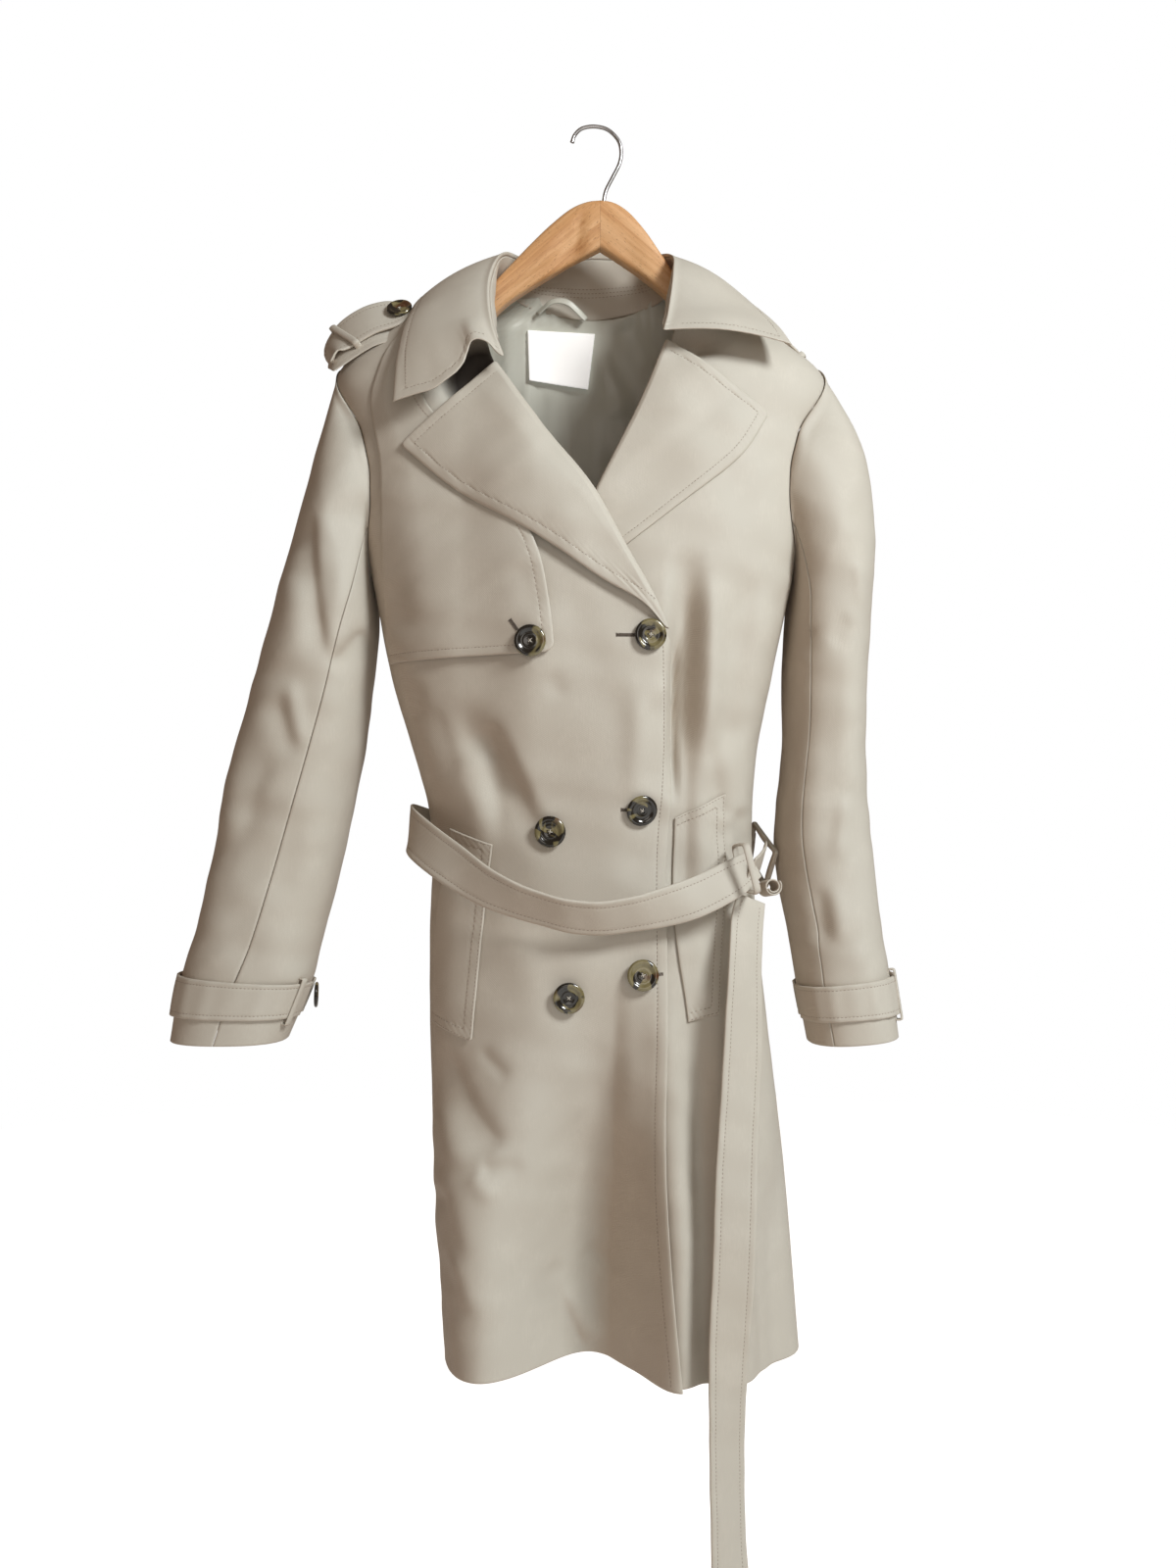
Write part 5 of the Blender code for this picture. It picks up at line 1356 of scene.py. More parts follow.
# As the body's creases, seen from the front; the second list of each pair is for the back of the sleeve.
SLEEVE_CREASES = {
    RIGHT: (
        [
            (-290, -560, -352, -720, 4, 13, -4.0, 0.2, 0.3, 0.3),
            (-231, -272, -208, -376, 4, 9, -6.5, 0.2, 0.25, 0.25),
            (-240, -290, -217, -395, 0, 10, 3.5, 0.0, 0.3, 0.3),
            (-244, -367, -216, -408, 0, 6, -3.5, 0.0, 0.3, 0.15),
            (-218, -402, -200, -420, 0, 5, -5.0, 0.0, 0.3, 0.3),
            (-260, -370, -243, -519, -3, 8, -5.0, 0.4, 0.2, 0.3),
            (-223, -414, -239, -515, 0, 10, 4.0, 0.0, 0.3, 0.3),
            (-262, -430, -282, -530, 0, 16, 3.0, 0.0, 0.3, 0.3),
            (-276, -524, -266, -596, 0, 6, 3.0, 0.0, 0.3, 0.3),
            (-294, -538, -270, -600, 0, 9, -4.0, 0.2, 0.3, 0.3),
            (-240, -521, -206, -478, 0, 8, -5.0, 0.4, 0.3, 0.3),
            (-307, -622, -318, -729, 0, 14, -3.0, 0.0, 0.3, 0.3),
            (-330, -560, -338, -690, 0, 12, 3.0, 0.0, 0.3, 0.3),
            (-270, -640, -285, -740, 0, 12, -3.0, 0.0, 0.3, 0.3),
            (-262, -300, -288, -440, 0, 18, -3.5, 0.0, 0.3, 0.3),
        ],
        [
            (-230, -290, -236, -420, 4, 12, -5.0, 0.2, 0.3, 0.3),
            (-262, -320, -262, -480, 0, 12, 4.0, 0.0, 0.3, 0.3),
            (-230, -470, -272, -540, 0, 10, -4.5, 0.2, 0.3, 0.3),
            (-246, -540, -292, -590, 0, 10, -4.0, 0.2, 0.3, 0.3),
            (-300, -600, -322, -740, 0, 13, -4.0, 0.0, 0.3, 0.3),
            (-268, -620, -290, -740, 0, 12, 3.0, 0.0, 0.3, 0.3),
        ],
    ),
    LEFT: (
        [
            (196, -373, 181, -494, -5, 8, -5.0, 0.2, 0.3, 0.3),
            (216, -302, 209, -444, 0, 12, 3.5, 0.0, 0.3, 0.3),
            (182, -395, 171, -435, 0, 6, -4.0, 0.0, 0.3, 0.3),
            (194, -478, 184, -508, 0, 6, -3.0, 0.0, 0.2, 0.4),
            (230, -470, 214, -500, 0, 7, -2.5, 0.0, 0.3, 0.3),
            (230, -627, 217, -698, 0, 6, 3.0, 0.0, 0.3, 0.3),
            (213, -711, 223, -772, 0, 7, 3.0, 0.0, 0.3, 0.3),
            (204, -711, 209, -772, 0, 7, -3.0, 0.0, 0.3, 0.3),
            (237, -417, 243, -466, 0, 5, 2.5, 0.0, 0.3, 0.3),
            (212, -489, 205, -622, 0, 12, -3.0, 0.0, 0.3, 0.3),
            (242, -520, 232, -640, 0, 12, 2.5, 0.0, 0.3, 0.3),
            (236, -320, 246, -400, 0, 14, -3.0, 0.0, 0.3, 0.3),
        ],
        [
            (206, -300, 208, -430, -4, 12, -5.0, 0.2, 0.3, 0.3),
            (236, -330, 232, -480, 0, 12, 4.0, 0.0, 0.3, 0.3),
            (190, -480, 236, -540, 0, 10, -4.5, 0.2, 0.3, 0.3),
            (186, -560, 228, -610, 0, 10, -3.5, 0.2, 0.3, 0.3),
            (226, -620, 232, -750, 0, 12, -3.5, 0.0, 0.3, 0.3),
        ],
    ),
}


def sleeve_point(side, theta, v, lift=0.0, hole_gap=0.0004):
    """Point of a sleeve. Theta is 0 at its outer edge, 90 degrees at its front and 180 at its inner edge."""
    theta, v = np.broadcast_arrays(np.asarray(theta, float), np.asarray(v, float))
    lift = np.broadcast_to(np.asarray(lift, float), v.shape)
    table = SLEEVE_RIGHT if side == RIGHT else SLEEVE_LEFT
    outer = np.stack([table("outer_x", v), table("y", v), table("outer_z", v)], axis=-1)
    inner = np.stack([table("inner_x", v), table("y", v), table("inner_z", v)], axis=-1)
    cosine, sine = np.cos(theta), np.sin(theta)
    reach = np.linalg.norm(outer - inner, axis=-1) / 2
    way = unit(outer - inner)
    depth = table("depth", v)
    along = np.sign(cosine) * np.abs(cosine) ** (2 / SLEEVE_ROUND)
    forward = np.sign(sine) * np.abs(sine) ** (2 / SLEEVE_ROUND)
    flat = (outer + inner) / 2 + way * (along * reach)[..., None]
    front_rows, back_rows = SLEEVE_CREASES[side]
    x, z = flat[..., 0], flat[..., 2]
    folded = np.where(sine >= 0, creases(front_rows, x, z), creases(back_rows, x, z))
    folded = (folded + unevenness(x, z + 0.2) * 1.2) * smooth_step(np.abs(sine) / 0.45)
    folded = folded * smooth_step((v - 0.005) / 0.05) * (1 - 0.7 * smooth_step((v - 0.84) / 0.04))
    head = 0.0022 * np.sin(math.pi * np.clip(v / 0.05, 0, 1)) * smooth_step((cosine + 0.3) / 0.6)
    lift = lift + folded + head
    normal_along = np.sign(along) * np.abs(along) ** (SLEEVE_ROUND - 1) / reach
    normal_forward = np.sign(forward) * np.abs(forward) ** (SLEEVE_ROUND - 1) / depth
    size = np.hypot(normal_along, normal_forward)
    along = along * reach + lift * normal_along / size
    forward = forward * depth + lift * normal_forward / size
    front = np.array([0.0, -1.0, 0.0])
    tube = (outer + inner) / 2 + way * along[..., None] + front * forward[..., None]
    z = (SHOULDER_Z + ARMPIT_Z) / 2 + (SHOULDER_Z - ARMPIT_Z) / 2 * cosine
    hole = np.where(
        (sine >= 0)[..., None],
        body_surface(FRONT, seam_angle(FRONT, side, z), z),
        body_surface(BACK, seam_angle(BACK, side, z), z),
    )
    hole = hole + np.array([side * hole_gap, 0.0, 0.0])
    hole[..., 1] -= lift * forward / depth
    hole[..., 2] += lift * cosine
    share = smooth_step(v / 0.14)[..., None]
    return hole + (tube - hole) * share


def sleeve_seam(side, v):
    """Angle at which a sleeve's front seam runs."""
    table = SLEEVE_RIGHT if side == RIGHT else SLEEVE_LEFT
    return np.radians(table("front_seam", v))


def make_sleeves():
    made = {}
    gap = 0.0035
    for side, word in SIDES:
        v = spread([0.60], SLEEVE_MESH[0])[0][:, None]
        front = sleeve_seam(side, v)
        back = math.radians(BACK_SEAM)
        upper = (back - 2 * math.pi + gap, front - gap)
        under = (front + gap, back - gap)
        for name, (start, stop), width in (("upper", upper, 0.30), ("under", under, 0.20)):
            share = spread([width], SLEEVE_MESH[1])
            theta = start + (stop - start) * share
            rows = np.broadcast_to(v, theta.shape)
            made[f"sleeve_{word}_{name}"] = wall(
                f"sleeve_{word}_{name}_cloth",
                lambda more: sleeve_point(side, theta, rows, more),
                theta.shape,
                stands_for=[f"sleeve_{word}_{name}"],
            )
    return made


# ---- Straps and loops -----------------------------------------------------------------------------

STRAP_LINE = "s x y z across_x across_y across_z half_width"
EPAULETTE_RIGHT = Table(STRAP_LINE, [
    (0.00, -0.2440, -0.0240, -0.2320, 0.00, 1.0, 0.00, 0.0190),
    (0.12, -0.2450, -0.0250, -0.2190, -0.55, 1.0, 0.10, 0.0205),
    (0.30, -0.2330, -0.0260, -0.2050, -0.90, 1.0, 0.78, 0.0215),
    (0.55, -0.2100, -0.0270, -0.1905, -0.80, 1.0, 1.28, 0.0212),
    (0.80, -0.1850, -0.0255, -0.1825, -0.42, 1.0, 1.25, 0.0195),
    (1.00, -0.1710, -0.0220, -0.1770, -0.20, 1.0, 0.70, 0.0105),
])
EPAULETTE_LEFT = Table(STRAP_LINE, [
    (0.00, 0.2110, 0.0250, -0.2440, 0.10, 1.0, -0.40, 0.0200),
    (0.12, 0.2115, 0.0250, -0.2370, 0.10, 1.0, -0.40, 0.0205),
    (0.30, 0.1980, 0.0260, -0.2220, 0.05, 1.0, -0.40, 0.0210),
    (0.55, 0.1750, 0.0250, -0.2010, 0.00, 1.0, -0.36, 0.0205),
    (0.80, 0.1530, 0.0240, -0.1845, 0.00, 1.0, -0.32, 0.0195),
    (1.00, 0.1390, 0.0230, -0.1730, 0.00, 1.0, -0.30, 0.0120),
])


UNDER_PLY_DROP = (-0.0080, -0.0190)  # the epaulettes' under ply hangs open: forward and down


class Strap:
    """A flat strap along a table's middle line, with a row of stitches beside each edge."""

    def __init__(self, name, table, thickness=STRAP, rounded=0.0, pitch=0.0028, upward=None):
        self.name, self.table, self.thickness, self.rounded, self.pitch = name, table, thickness, rounded, pitch
        s = np.linspace(0, 1, 200)
        points = np.stack([table(axis, s) for axis in "xyz"], axis=-1)
        self.length = float(np.linalg.norm(np.diff(points, axis=0), axis=1).sum())
        self.flip = 1.0
        if upward is not None:
            facing = self.frame(np.array([0.5]))[2][0]
            self.flip = float(np.sign(facing @ np.asarray(upward)))

    def frame(self, s):
        table, step = self.table, 0.004
        point = np.stack([table(axis, s) for axis in "xyz"], axis=-1)
        ahead = np.stack([table(axis, np.clip(s + step, 0, 1)) for axis in "xyz"], axis=-1)
        behind = np.stack([table(axis, np.clip(s - step, 0, 1)) for axis in "xyz"], axis=-1)
        way = unit(ahead - behind)
        across = unit(table.point("across", s))
        across = unit(across - way * (across * way).sum(-1, keepdims=True))
        facing = unit(np.cross(across, way))
        half = table("half_width", s)
        if self.rounded:
            left = np.clip((1 - s) * self.length / self.rounded, 0.0, 1.0)
            half = half * np.sqrt(np.clip(1 - 0.80 * (1 - left) ** 2.4, 0, 1))
        return point, across, facing, half

    def place(self, s, q, more=0.0):
        """q runs across the strap from -1 to 1."""
        s, q = np.broadcast_arrays(np.asarray(s, float), np.asarray(q, float))
        point, across, facing, half = self.frame(s)
        inward = (1 - np.abs(q)) * half
        sewn = -0.00022 * np.exp(-(((inward - 0.0060) / 0.0009) ** 2))
        wavy = 0.0005 * np.sin(s * self.length / 0.021 + 1.5 * q) + 0.0002 * np.sin(s * self.length / 0.0068 - q)
        height = self.thickness / 2 + sewn + wavy + more
        return point + across * (half * q)[..., None] + facing * self.flip * height[..., None]

    def make(self, finish="gabardine", stands_for=None):
        s = spread([self.length], self.pitch)[0][:, None]
        q = spread(
            [0.040], 0.0024, (0, RIM_STEP, 0.003, 0.0052, 0.006, 0.0068), (0, RIM_STEP, 0.003, 0.0052, 0.006, 0.0068)
        )
        s, q = np.broadcast_arrays(s, q * 2 - 1)
        return wall(
            self.name + "_cloth",
            lambda more: self.place(s, q, more),
            s.shape,
            finish,
            self.thickness,
            stands_for=[self.name] if stands_for is None else stands_for,
        )

    def rows(self, inset=0.0060, start=0.0, end=1.0, both_faces=False):
        s = np.linspace(start, end, 400)
        half = self.frame(s)[3]
        for way in (-1, 1):
            q = way * (1 - inset / half)
            sew(self.name, self.place(s, q), self.place(s, q, 0.001))
            if both_faces:
                under = -self.thickness
                sew(self.name, self.place(s, q, under), self.place(s, q, under - 0.001))
        return finish_stitches(self.name)


def round_path(corners, cuts=3):
    """A closed path through the corners, with its turns cut round."""
    path = np.asarray(corners, float)
    for _ in range(cuts):
        ahead = np.roll(path, -1, axis=0)
        path = np.stack([path * 0.75 + ahead * 0.25, path * 0.25 + ahead * 0.75], axis=1).reshape(-1, 3)
    return path


def band_loop(name, corners, across, width=0.0065, thickness=0.0016):
    """A narrow closed loop of cloth round its corners."""
    across = unit(across)
    path = np.asarray(corners, float)
    fine = []
    for k in range(len(path)):
        a, b = path[k], path[(k + 1) % len(path)]
        fine += [a + (b - a) * t for t in (0.0, 0.25, 0.5, 0.75)]
    path = round_path(fine, 2)
    middle = path.mean(axis=0)
    way = unit(np.roll(path, -1, axis=0) - np.roll(path, 1, axis=0))
    away = np.cross(way, across)
    away = unit(away) * np.sign(((path - middle) * away).sum(-1).mean())
    q = np.array([-1, -0.78, -0.45, 0, 0.45, 0.78, 1]) * width / 2

    def face_at(more):
        more = np.broadcast_to(more, (len(path), len(q)))
        height = thickness + 0.00025 * np.cos(q / width * 2 * math.pi)[None, :] + more
        return path[:, None, :] + across * q[None, :, None] + away[:, None, :] * height[..., None]

    return wall(name + "_cloth", face_at, (len(path), len(q)), thickness=thickness, stands_for=[name], ring=True)


def make_epaulettes():
    made = {}
    for side, word, table in ((RIGHT, "right", EPAULETTE_RIGHT), (LEFT, "left", EPAULETTE_LEFT)):
        strap = Strap(f"epaulette_{word}", table, rounded=0.022, upward=(0, 0, 1))
        made[strap.name] = strap.make()
        if side == RIGHT:
            rows = table.rows[1:].copy()
            rows[:, 0] = np.linspace(0, 1, len(rows))
            rows[:, 2:4] += UNDER_PLY_DROP
            rows[:, 7] = 0.0145
            ply = Strap(f"epaulette_{word}_under", Table(STRAP_LINE, rows), 0.0012, upward=(0, 0, 1))
            made[ply.name] = ply.make(stands_for=())
        made[strap.name + "_stitches"] = strap.rows(start=0.02, end=0.90)
        s = 0.30
        middle = np.array([table(axis, s) for axis in "xyz"])
        across = unit(table.point("across", np.array(s)))
        along = unit(np.array([table(axis, s + 0.1) - table(axis, s - 0.02) for axis in "xyz"]))
        facing = unit(np.cross(across, along))
        facing = facing * np.sign(facing[2])
        half, up, down = table("half_width", s) + 0.0016, 0.0024, -0.0048
        corners = [middle + across * a * half + facing * b for a, b in ((-1, down), (-1, up), (1, up), (1, down))]
        name = f"epaulette_loop_{word}"
        made[name] = band_loop(name, corners, along)
    return made


def make_cuffs():
    made = {}
    for side, word in SIDES:
        name = f"cuff_strap_{word}"
        low, high = CUFF_STRAP
        theta = np.radians(-168 + 340 * spread([0.33], 0.0030)[0])[:, None]
        edge = (0, RIM_STEP, 0.003, 0.0052, 0.006, 0.0068)
        v = (low + (high - low) * spread([0.045], 0.0028, edge, edge)[0])[None, :]
        theta, v = np.broadcast_arrays(theta, v)

        def place(theta, v, more):
            inward = np.minimum(v - low, high - v) / (high - low) * 0.045
            sewn = -0.00025 * np.exp(-(((inward - 0.0060) / 0.0009) ** 2))
            loose = 0.0012 + 0.0008 * np.sin(theta * 3 + 0.6) + 0.0003 * np.sin(theta * 17)
            return sleeve_point(side, theta, v, loose + STRAP + sewn + more)

        made[name] = wall(
            name + "_cloth", lambda more: place(theta, v, more), v.shape, thickness=STRAP, stands_for=[name]
        )
        path = np.radians(np.linspace(-165, 169, 300))
        inset = (high - low) * 0.0060 / 0.045
        for at in (low + inset, high - inset):
            sew(name, place(path, at + 0 * path, 0.0), place(path, at + 0 * path, 0.001))
        made[name + "_stitches"] = finish_stitches(name)
        centre = math.radians(150 if side == RIGHT else 22)
        v_low, v_high = low - 0.012, high + 0.012
        near, far = 0.0006, 0.0050
        corners = [
            sleeve_point(side, centre, a, b)
            for a, b in ((v_low, near), (v_low, far), (v_high, far), (v_high, near))
        ]
        tangent = sleeve_point(side, centre + 0.05, 0.9) - sleeve_point(side, centre - 0.05, 0.9)
        name = f"cuff_loop_{word}"
        made[name] = band_loop(name, np.stack(corners), tangent)
    return made


# ---- Belt -----------------------------------------------------------------------------------------

# Middle line of the slack belt, from its keeper at the left round the front, the right side and the back.
BELT_LINE = Table(STRAP_LINE, [
    (0.00, 0.1420, -0.0860, -0.6930, -0.10, 0.20, 1.0, 0.0130),
    (0.05, 0.1220, -0.1010, -0.7050, -0.15, 0.30, 1.0, 0.0165),
    (0.10, 0.0900, -0.1130, -0.7200, -0.10, 0.10, 1.0, 0.0175),
    (0.17, 0.0420, -0.1230, -0.7330, 0.00, -0.45, 1.0, 0.0182),
    (0.24, -0.0050, -0.1290, -0.7380, 0.00, -0.70, 1.0, 0.0182),
    (0.31, -0.0500, -0.1280, -0.7290, 0.00, -0.65, 1.0, 0.0182),
    (0.37, -0.0950, -0.1180, -0.7120, 0.15, -0.35, 1.0, 0.0185),
    (0.42, -0.1330, -0.0960, -0.6890, 0.30, 0.05, 1.0, 0.0190),
    (0.47, -0.1620, -0.0620, -0.6700, 0.25, 0.20, 1.0, 0.0190),
    (0.52, -0.1720, -0.0200, -0.6600, 0.05, 0.00, 1.0, 0.0190),
    (0.57, -0.1640, 0.0180, -0.6640, 0.00, -0.10, 1.0, 0.0190),
    (0.63, -0.1370, 0.0620, -0.6780, -0.05, -0.20, 1.0, 0.0190),
    (0.70, -0.0850, 0.0760, -0.6930, 0.00, -0.20, 1.0, 0.0190),
    (0.78, 0.0000, 0.0820, -0.7000, 0.00, -0.20, 1.0, 0.0190),
    (0.87, 0.0880, 0.0760, -0.6930, 0.00, -0.20, 1.0, 0.0190),
    (0.94, 0.1360, 0.0560, -0.6830, 0.10, -0.15, 1.0, 0.0190),
    (1.00, 0.1530, 0.0260, -0.6860, 0.10, 0.00, 1.0, 0.0170),
])
BELT_TAIL = Table(STRAP_LINE, [
    (0.00, 0.1390, -0.0850, -0.7240, 1.0, 0.55, -0.15, 0.0150),
    (0.04, 0.1350, -0.0920, -0.7420, 1.0, 0.50, -0.15, 0.0165),
    (0.10, 0.1320, -0.1040, -0.7720, 1.0, 0.60, -0.10, 0.0180),
    (0.20, 0.1290, -0.1110, -0.8500, 1.0, 0.45, 0.00, 0.0190),
    (0.35, 0.1230, -0.1200, -0.9500, 1.0, 0.25, 0.00, 0.0190),
    (0.50, 0.1195, -0.1260, -1.0400, 1.0, 0.15, 0.00, 0.0190),
    (0.65, 0.1150, -0.1240, -1.1300, 1.0, 0.40, 0.00, 0.0190),
    (0.80, 0.1150, -0.1130, -1.2300, 1.0, 0.70, 0.00, 0.0190),
    (0.92, 0.1180, -0.1060, -1.3200, 1.0, 0.45, 0.00, 0.0190),
    (0.96, 0.1195, -0.1050, -1.3560, 1.0, 0.20, 0.00, 0.0190),
    (1.00, 0.1200, -0.1050, -1.3860, 1.0, 0.10, 0.00, 0.0040),
])
BUCKLE_CORNERS = [
    (0.1525, 0.0120, -0.6570),
    (0.1695, -0.0300, -0.6850),
    (0.1615, -0.0090, -0.7210),
    (0.1445, 0.0330, -0.6930),
]
KEEPER_CORNERS = [
    (0.1330, -0.0780, -0.7165),
    (0.1250, -0.0790, -0.6770),
    (0.1310, -0.1160, -0.6750),
    (0.1410, -0.1200, -0.7165),
]
BELT_LOOP_CORNERS = [
    (-0.1300, 0.0500, -0.7060),
    (-0.1300, 0.0500, -0.6480),
    (-0.1520, 0.0720, -0.6500),
    (-0.1520, 0.0720, -0.7100),
]
ROLL_START = (0.1600, -0.0760, -0.7140)
ROLL_END = (0.1550, -0.0530, -0.7170)
ROLL_RADIUS = 0.0088


# The belt's end, from its keeper to the buckle
BELT_END = Table(STRAP_LINE, [
    (0.00, 0.1360, -0.0980, -0.7000, 0.45, 0.0, 1.0, 0.0140),
    (0.50, 0.1500, -0.0560, -0.6950, 0.35, 0.0, 1.0, 0.0155),
    (1.00, 0.1585, -0.0080, -0.6890, 0.30, 0.0, 1.0, 0.0165),
])


def make_belt():
    made = {}
    made["belt_end"] = Strap("belt_end", BELT_END, 0.0022, upward=(1, 0, 0)).make(stands_for=())
    belt = Strap("belt_round", BELT_LINE, upward=None)
    made["belt_round"] = belt.make()
    made["belt_round_stitches"] = belt.rows(start=0.01, end=0.99)
    tail = Strap("belt_tail", BELT_TAIL, upward=(0, -1, 0), pitch=0.0034)
    made["belt_tail"] = tail.make()
    made["belt_tail_stitches"] = tail.rows(start=0.01, end=0.955)
    corners = np.asarray(BUCKLE_CORNERS)
    middle = corners.mean(axis=0)
    plane = unit(np.cross(corners[1] - corners[0], corners[2] - corners[1]))
    fine = []
    for k in range(4):
        a, b = corners[k], corners[(k + 1) % 4]
        fine += [a + (b - a) * t for t in (0.0, 0.12, 0.5, 0.88)]
    path = round_path(fine, 3)
    outward = unit(path - middle)
    turn = np.linspace(0, 2 * math.pi, 13)[:-1]
    wide = np.sign(np.cos(turn)) * np.abs(np.cos(turn)) ** 0.6 * 0.0030
    deep = np.sign(np.sin(turn)) * np.abs(np.sin(turn)) ** 0.6 * 0.0024
    rings = (
        (path - outward * 0.0030)[:, None, :]
        + outward[:, None, :] * wide[None, :, None]
        + plane * deep[None, :, None]
    )
    made["belt_buckle"] = loft("belt_buckle_frame", rings, "gabardine", ["belt_buckle"], closed=True)
    start, end = np.array(ROLL_START), np.array(ROLL_END)
    axis = unit(end - start)
    one = unit(np.cross(axis, (0.0, 0.0, 1.0)))
    two = np.cross(axis, one)
    turn = np.radians(np.linspace(-40, 520, 64))[:, None, None]
    curl = one * np.cos(turn) + two * np.sin(turn)
    radius = np.linspace(ROLL_RADIUS, ROLL_RADIUS - 0.0034, 64)[:, None, None]
    line = start + (end - start) * spread([0.024], 0.003)[0][None, :, None]

    def roll_at(more):
        return line + curl * (radius + more[..., None])

    made["belt_roll"] = wall(
        "belt_roll_cloth", roll_at, (64, line.shape[1]), thickness=0.0016, stands_for=["belt_roll"]
    )
    made["belt_keeper"] = band_loop("belt_keeper", KEEPER_CORNERS, (0.9, 0.3, 0.35), thickness=0.0014)
    for side, word in SIDES:
        corners = np.array(BELT_LOOP_CORNERS) * np.array([-side, 1.0, 1.0])
        name = f"belt_loop_{word}"
        made[name] = band_loop(name, corners, (side * 0.5, 1.0, 0.0))
    return made


# ---- Lining, label and hanging loop ---------------------------------------------------------------

LINING_LIFT = -0.0065
LINING_TOP = -0.1730
LINING_LENGTH = 0.4270
LINING_CREASES = [
    (-68, -165, -62, -300, 0, 7, -3.5, 0.5, 0.05, 0.4),
    (-58, -165, -52, -330, 0, 9, 2.5, 0.0, 0.1, 0.4),
    (-42, -200, -46, -400, 0, 6, -3.5, 0.3, 0.2, 0.4),
    (-30, -170, -16, -360, -4, 9, 2.5, 0.0, 0.1, 0.5),
    (-16, -171, 34, -262, 3, 7, -2.6, 0.3, 0.05, 0.4),
    (3, -200, 34, -262, 0, 5, -2.0, 0.3, 0.2, 0.2),
    (18, -240, 38, -300, 0, 5, -2.0, 0.3, 0.2, 0.2),
    (-4, -230, 6, -420, 0, 10, -2.5, 0.0, 0.2, 0.4),
    (30, -168, 60, -230, 0, 9, 1.8, 0.0, 0.1, 0.5),
    (-84, -165, -86, -260, 0, 6, -2.5, 0.0, 0.05, 0.5),
    (-76, -165, -78, -300, 0, 6, 2.0, 0.0, 0.05, 0.5),
    (-100, -300, -92, -520, 0, 12, -3.0, 0.0, 0.3, 0.3),
    (60, -300, 52, -540, 0, 12, -3.0, 0.0, 0.3, 0.3),
]
LABEL = Table(PATCH, [(0, -0.0662, -0.1760, 0.0002, -0.1800), (1, -0.0643, -0.2250, -0.0065, -0.2337)])


def lining_lift(x, z):
    gathers = 0.0009 * np.sin(x * 2 * math.pi / 0.0092 + 2 * np.sin(x * 90)) * smooth_step((z + 0.205) / 0.035)
    beside = 1 - 0.9 * np.exp(-(((x + 0.032) / 0.042) ** 4) - ((z + 0.205) / 0.034) ** 4)
    return LINING_LIFT - 0.0020 + creases(LINING_CREASES, x, z) * 1.5 * beside + gathers


def make_inside():
    made = {}
    down = spread([LINING_LENGTH], LINING_MESH[0])[0][:, None]
    z = LINING_TOP - LINING_LENGTH * down
    start = np.maximum(seam_angle(BACK, RIGHT, z), 0.42)
    stop = np.minimum(seam_angle(BACK, LEFT, z), math.pi - 0.42)
    angle = start + (stop - start) * spread([0.34], LINING_MESH[1])
    aside = np.clip(np.abs(body_x(BACK, angle, z) + 0.004) / 0.088, 0, 1)
    z = z + (0.0062 + 0.0230 * aside**2) * (1 - down) ** 4
    raised = lining_lift(body_x(BACK, angle, z), z)
    made["lining_back"] = wall(
        "lining_back_cloth",
        lambda more: body_surface(BACK, angle, z, raised + more),
        z.shape,
        "satin",
        LINING,
        stands_for=["lining_back"],
    )
    v = spread([0.050], 0.0022)[0][:, None]
    u = spread([0.066], 0.0022)
    x, z = flat_place(LABEL, *np.broadcast_arrays(v, u))
    curl = 0.0020 * (np.broadcast_to(v, x.shape) ** 2)
    lift = LINING_LIFT - LINING - 0.0052 - curl
    made["label"] = wall(
        "label_ribbon",
        lambda more: on_body(BACK, x, z, lift + more),
        x.shape,
        "label_white",
        0.0007,
        stands_for=["label"],
    )
    hang = Table(
        STRAP_LINE,
        [
            (0.0, -0.0560, 0.0385, -0.1640, 0.2, 0.25, 1.0, 0.0031),
            (0.3, -0.0420, 0.0340, -0.1535, 0.1, 0.25, 1.0, 0.0031),
            (0.6, -0.0270, 0.0330, -0.1540, 0.0, 0.25, 1.0, 0.0031),
            (1.0, -0.0080, 0.0385, -0.1690, -0.2, 0.25, 1.0, 0.0031),
        ],
    )
    s, q = np.broadcast_arrays(np.linspace(0, 1, 40)[:, None], np.linspace(-1, 1, 7)[None, :])
    loop = Strap("hang_loop", hang, 0.0014)
    made["hang_loop"] = wall(
        "hang_loop_cloth",
        lambda more: loop.place(s, q, more),
        s.shape,
        "satin",
        0.0014,
        stands_for=["hang_loop"],
    )
    return made


# ---- Buttons --------------------------------------------------------------------------------------

# Radius and height of a button's face and back, in millimetres, from the middle of its face round to its back.
BUTTON_FACE = [
    (0.0, 2.05), (4.6, 2.05), (5.1, 2.25), (5.6, 2.35), (6.2, 2.20), (7.4, 2.15), (8.4, 2.35), (9.2, 2.95),
    (10.2, 3.60), (11.2, 3.95), (12.3, 3.90), (13.3, 3.40), (13.9, 2.60), (14.0, 2.10), (13.6, 1.20), (12.4, 0.30),
    (10.0, 0.00), (0.0, 0.00),
]  # fmt: skip
FRONT_BUTTONS = Table("number x z lift", [
    (1, 0.0469, -0.4917, 0.0130),
    (2, 0.0400, -0.6444, 0.0100),
    (3, 0.0410, -0.7908, 0.0105),
    (4, -0.0392, -0.6631, 0.0100),
    (5, -0.0232, -0.8103, 0.0105),
])
HOLE_RADIUS, HOLE_OFFSET = 0.00095, 0.00165


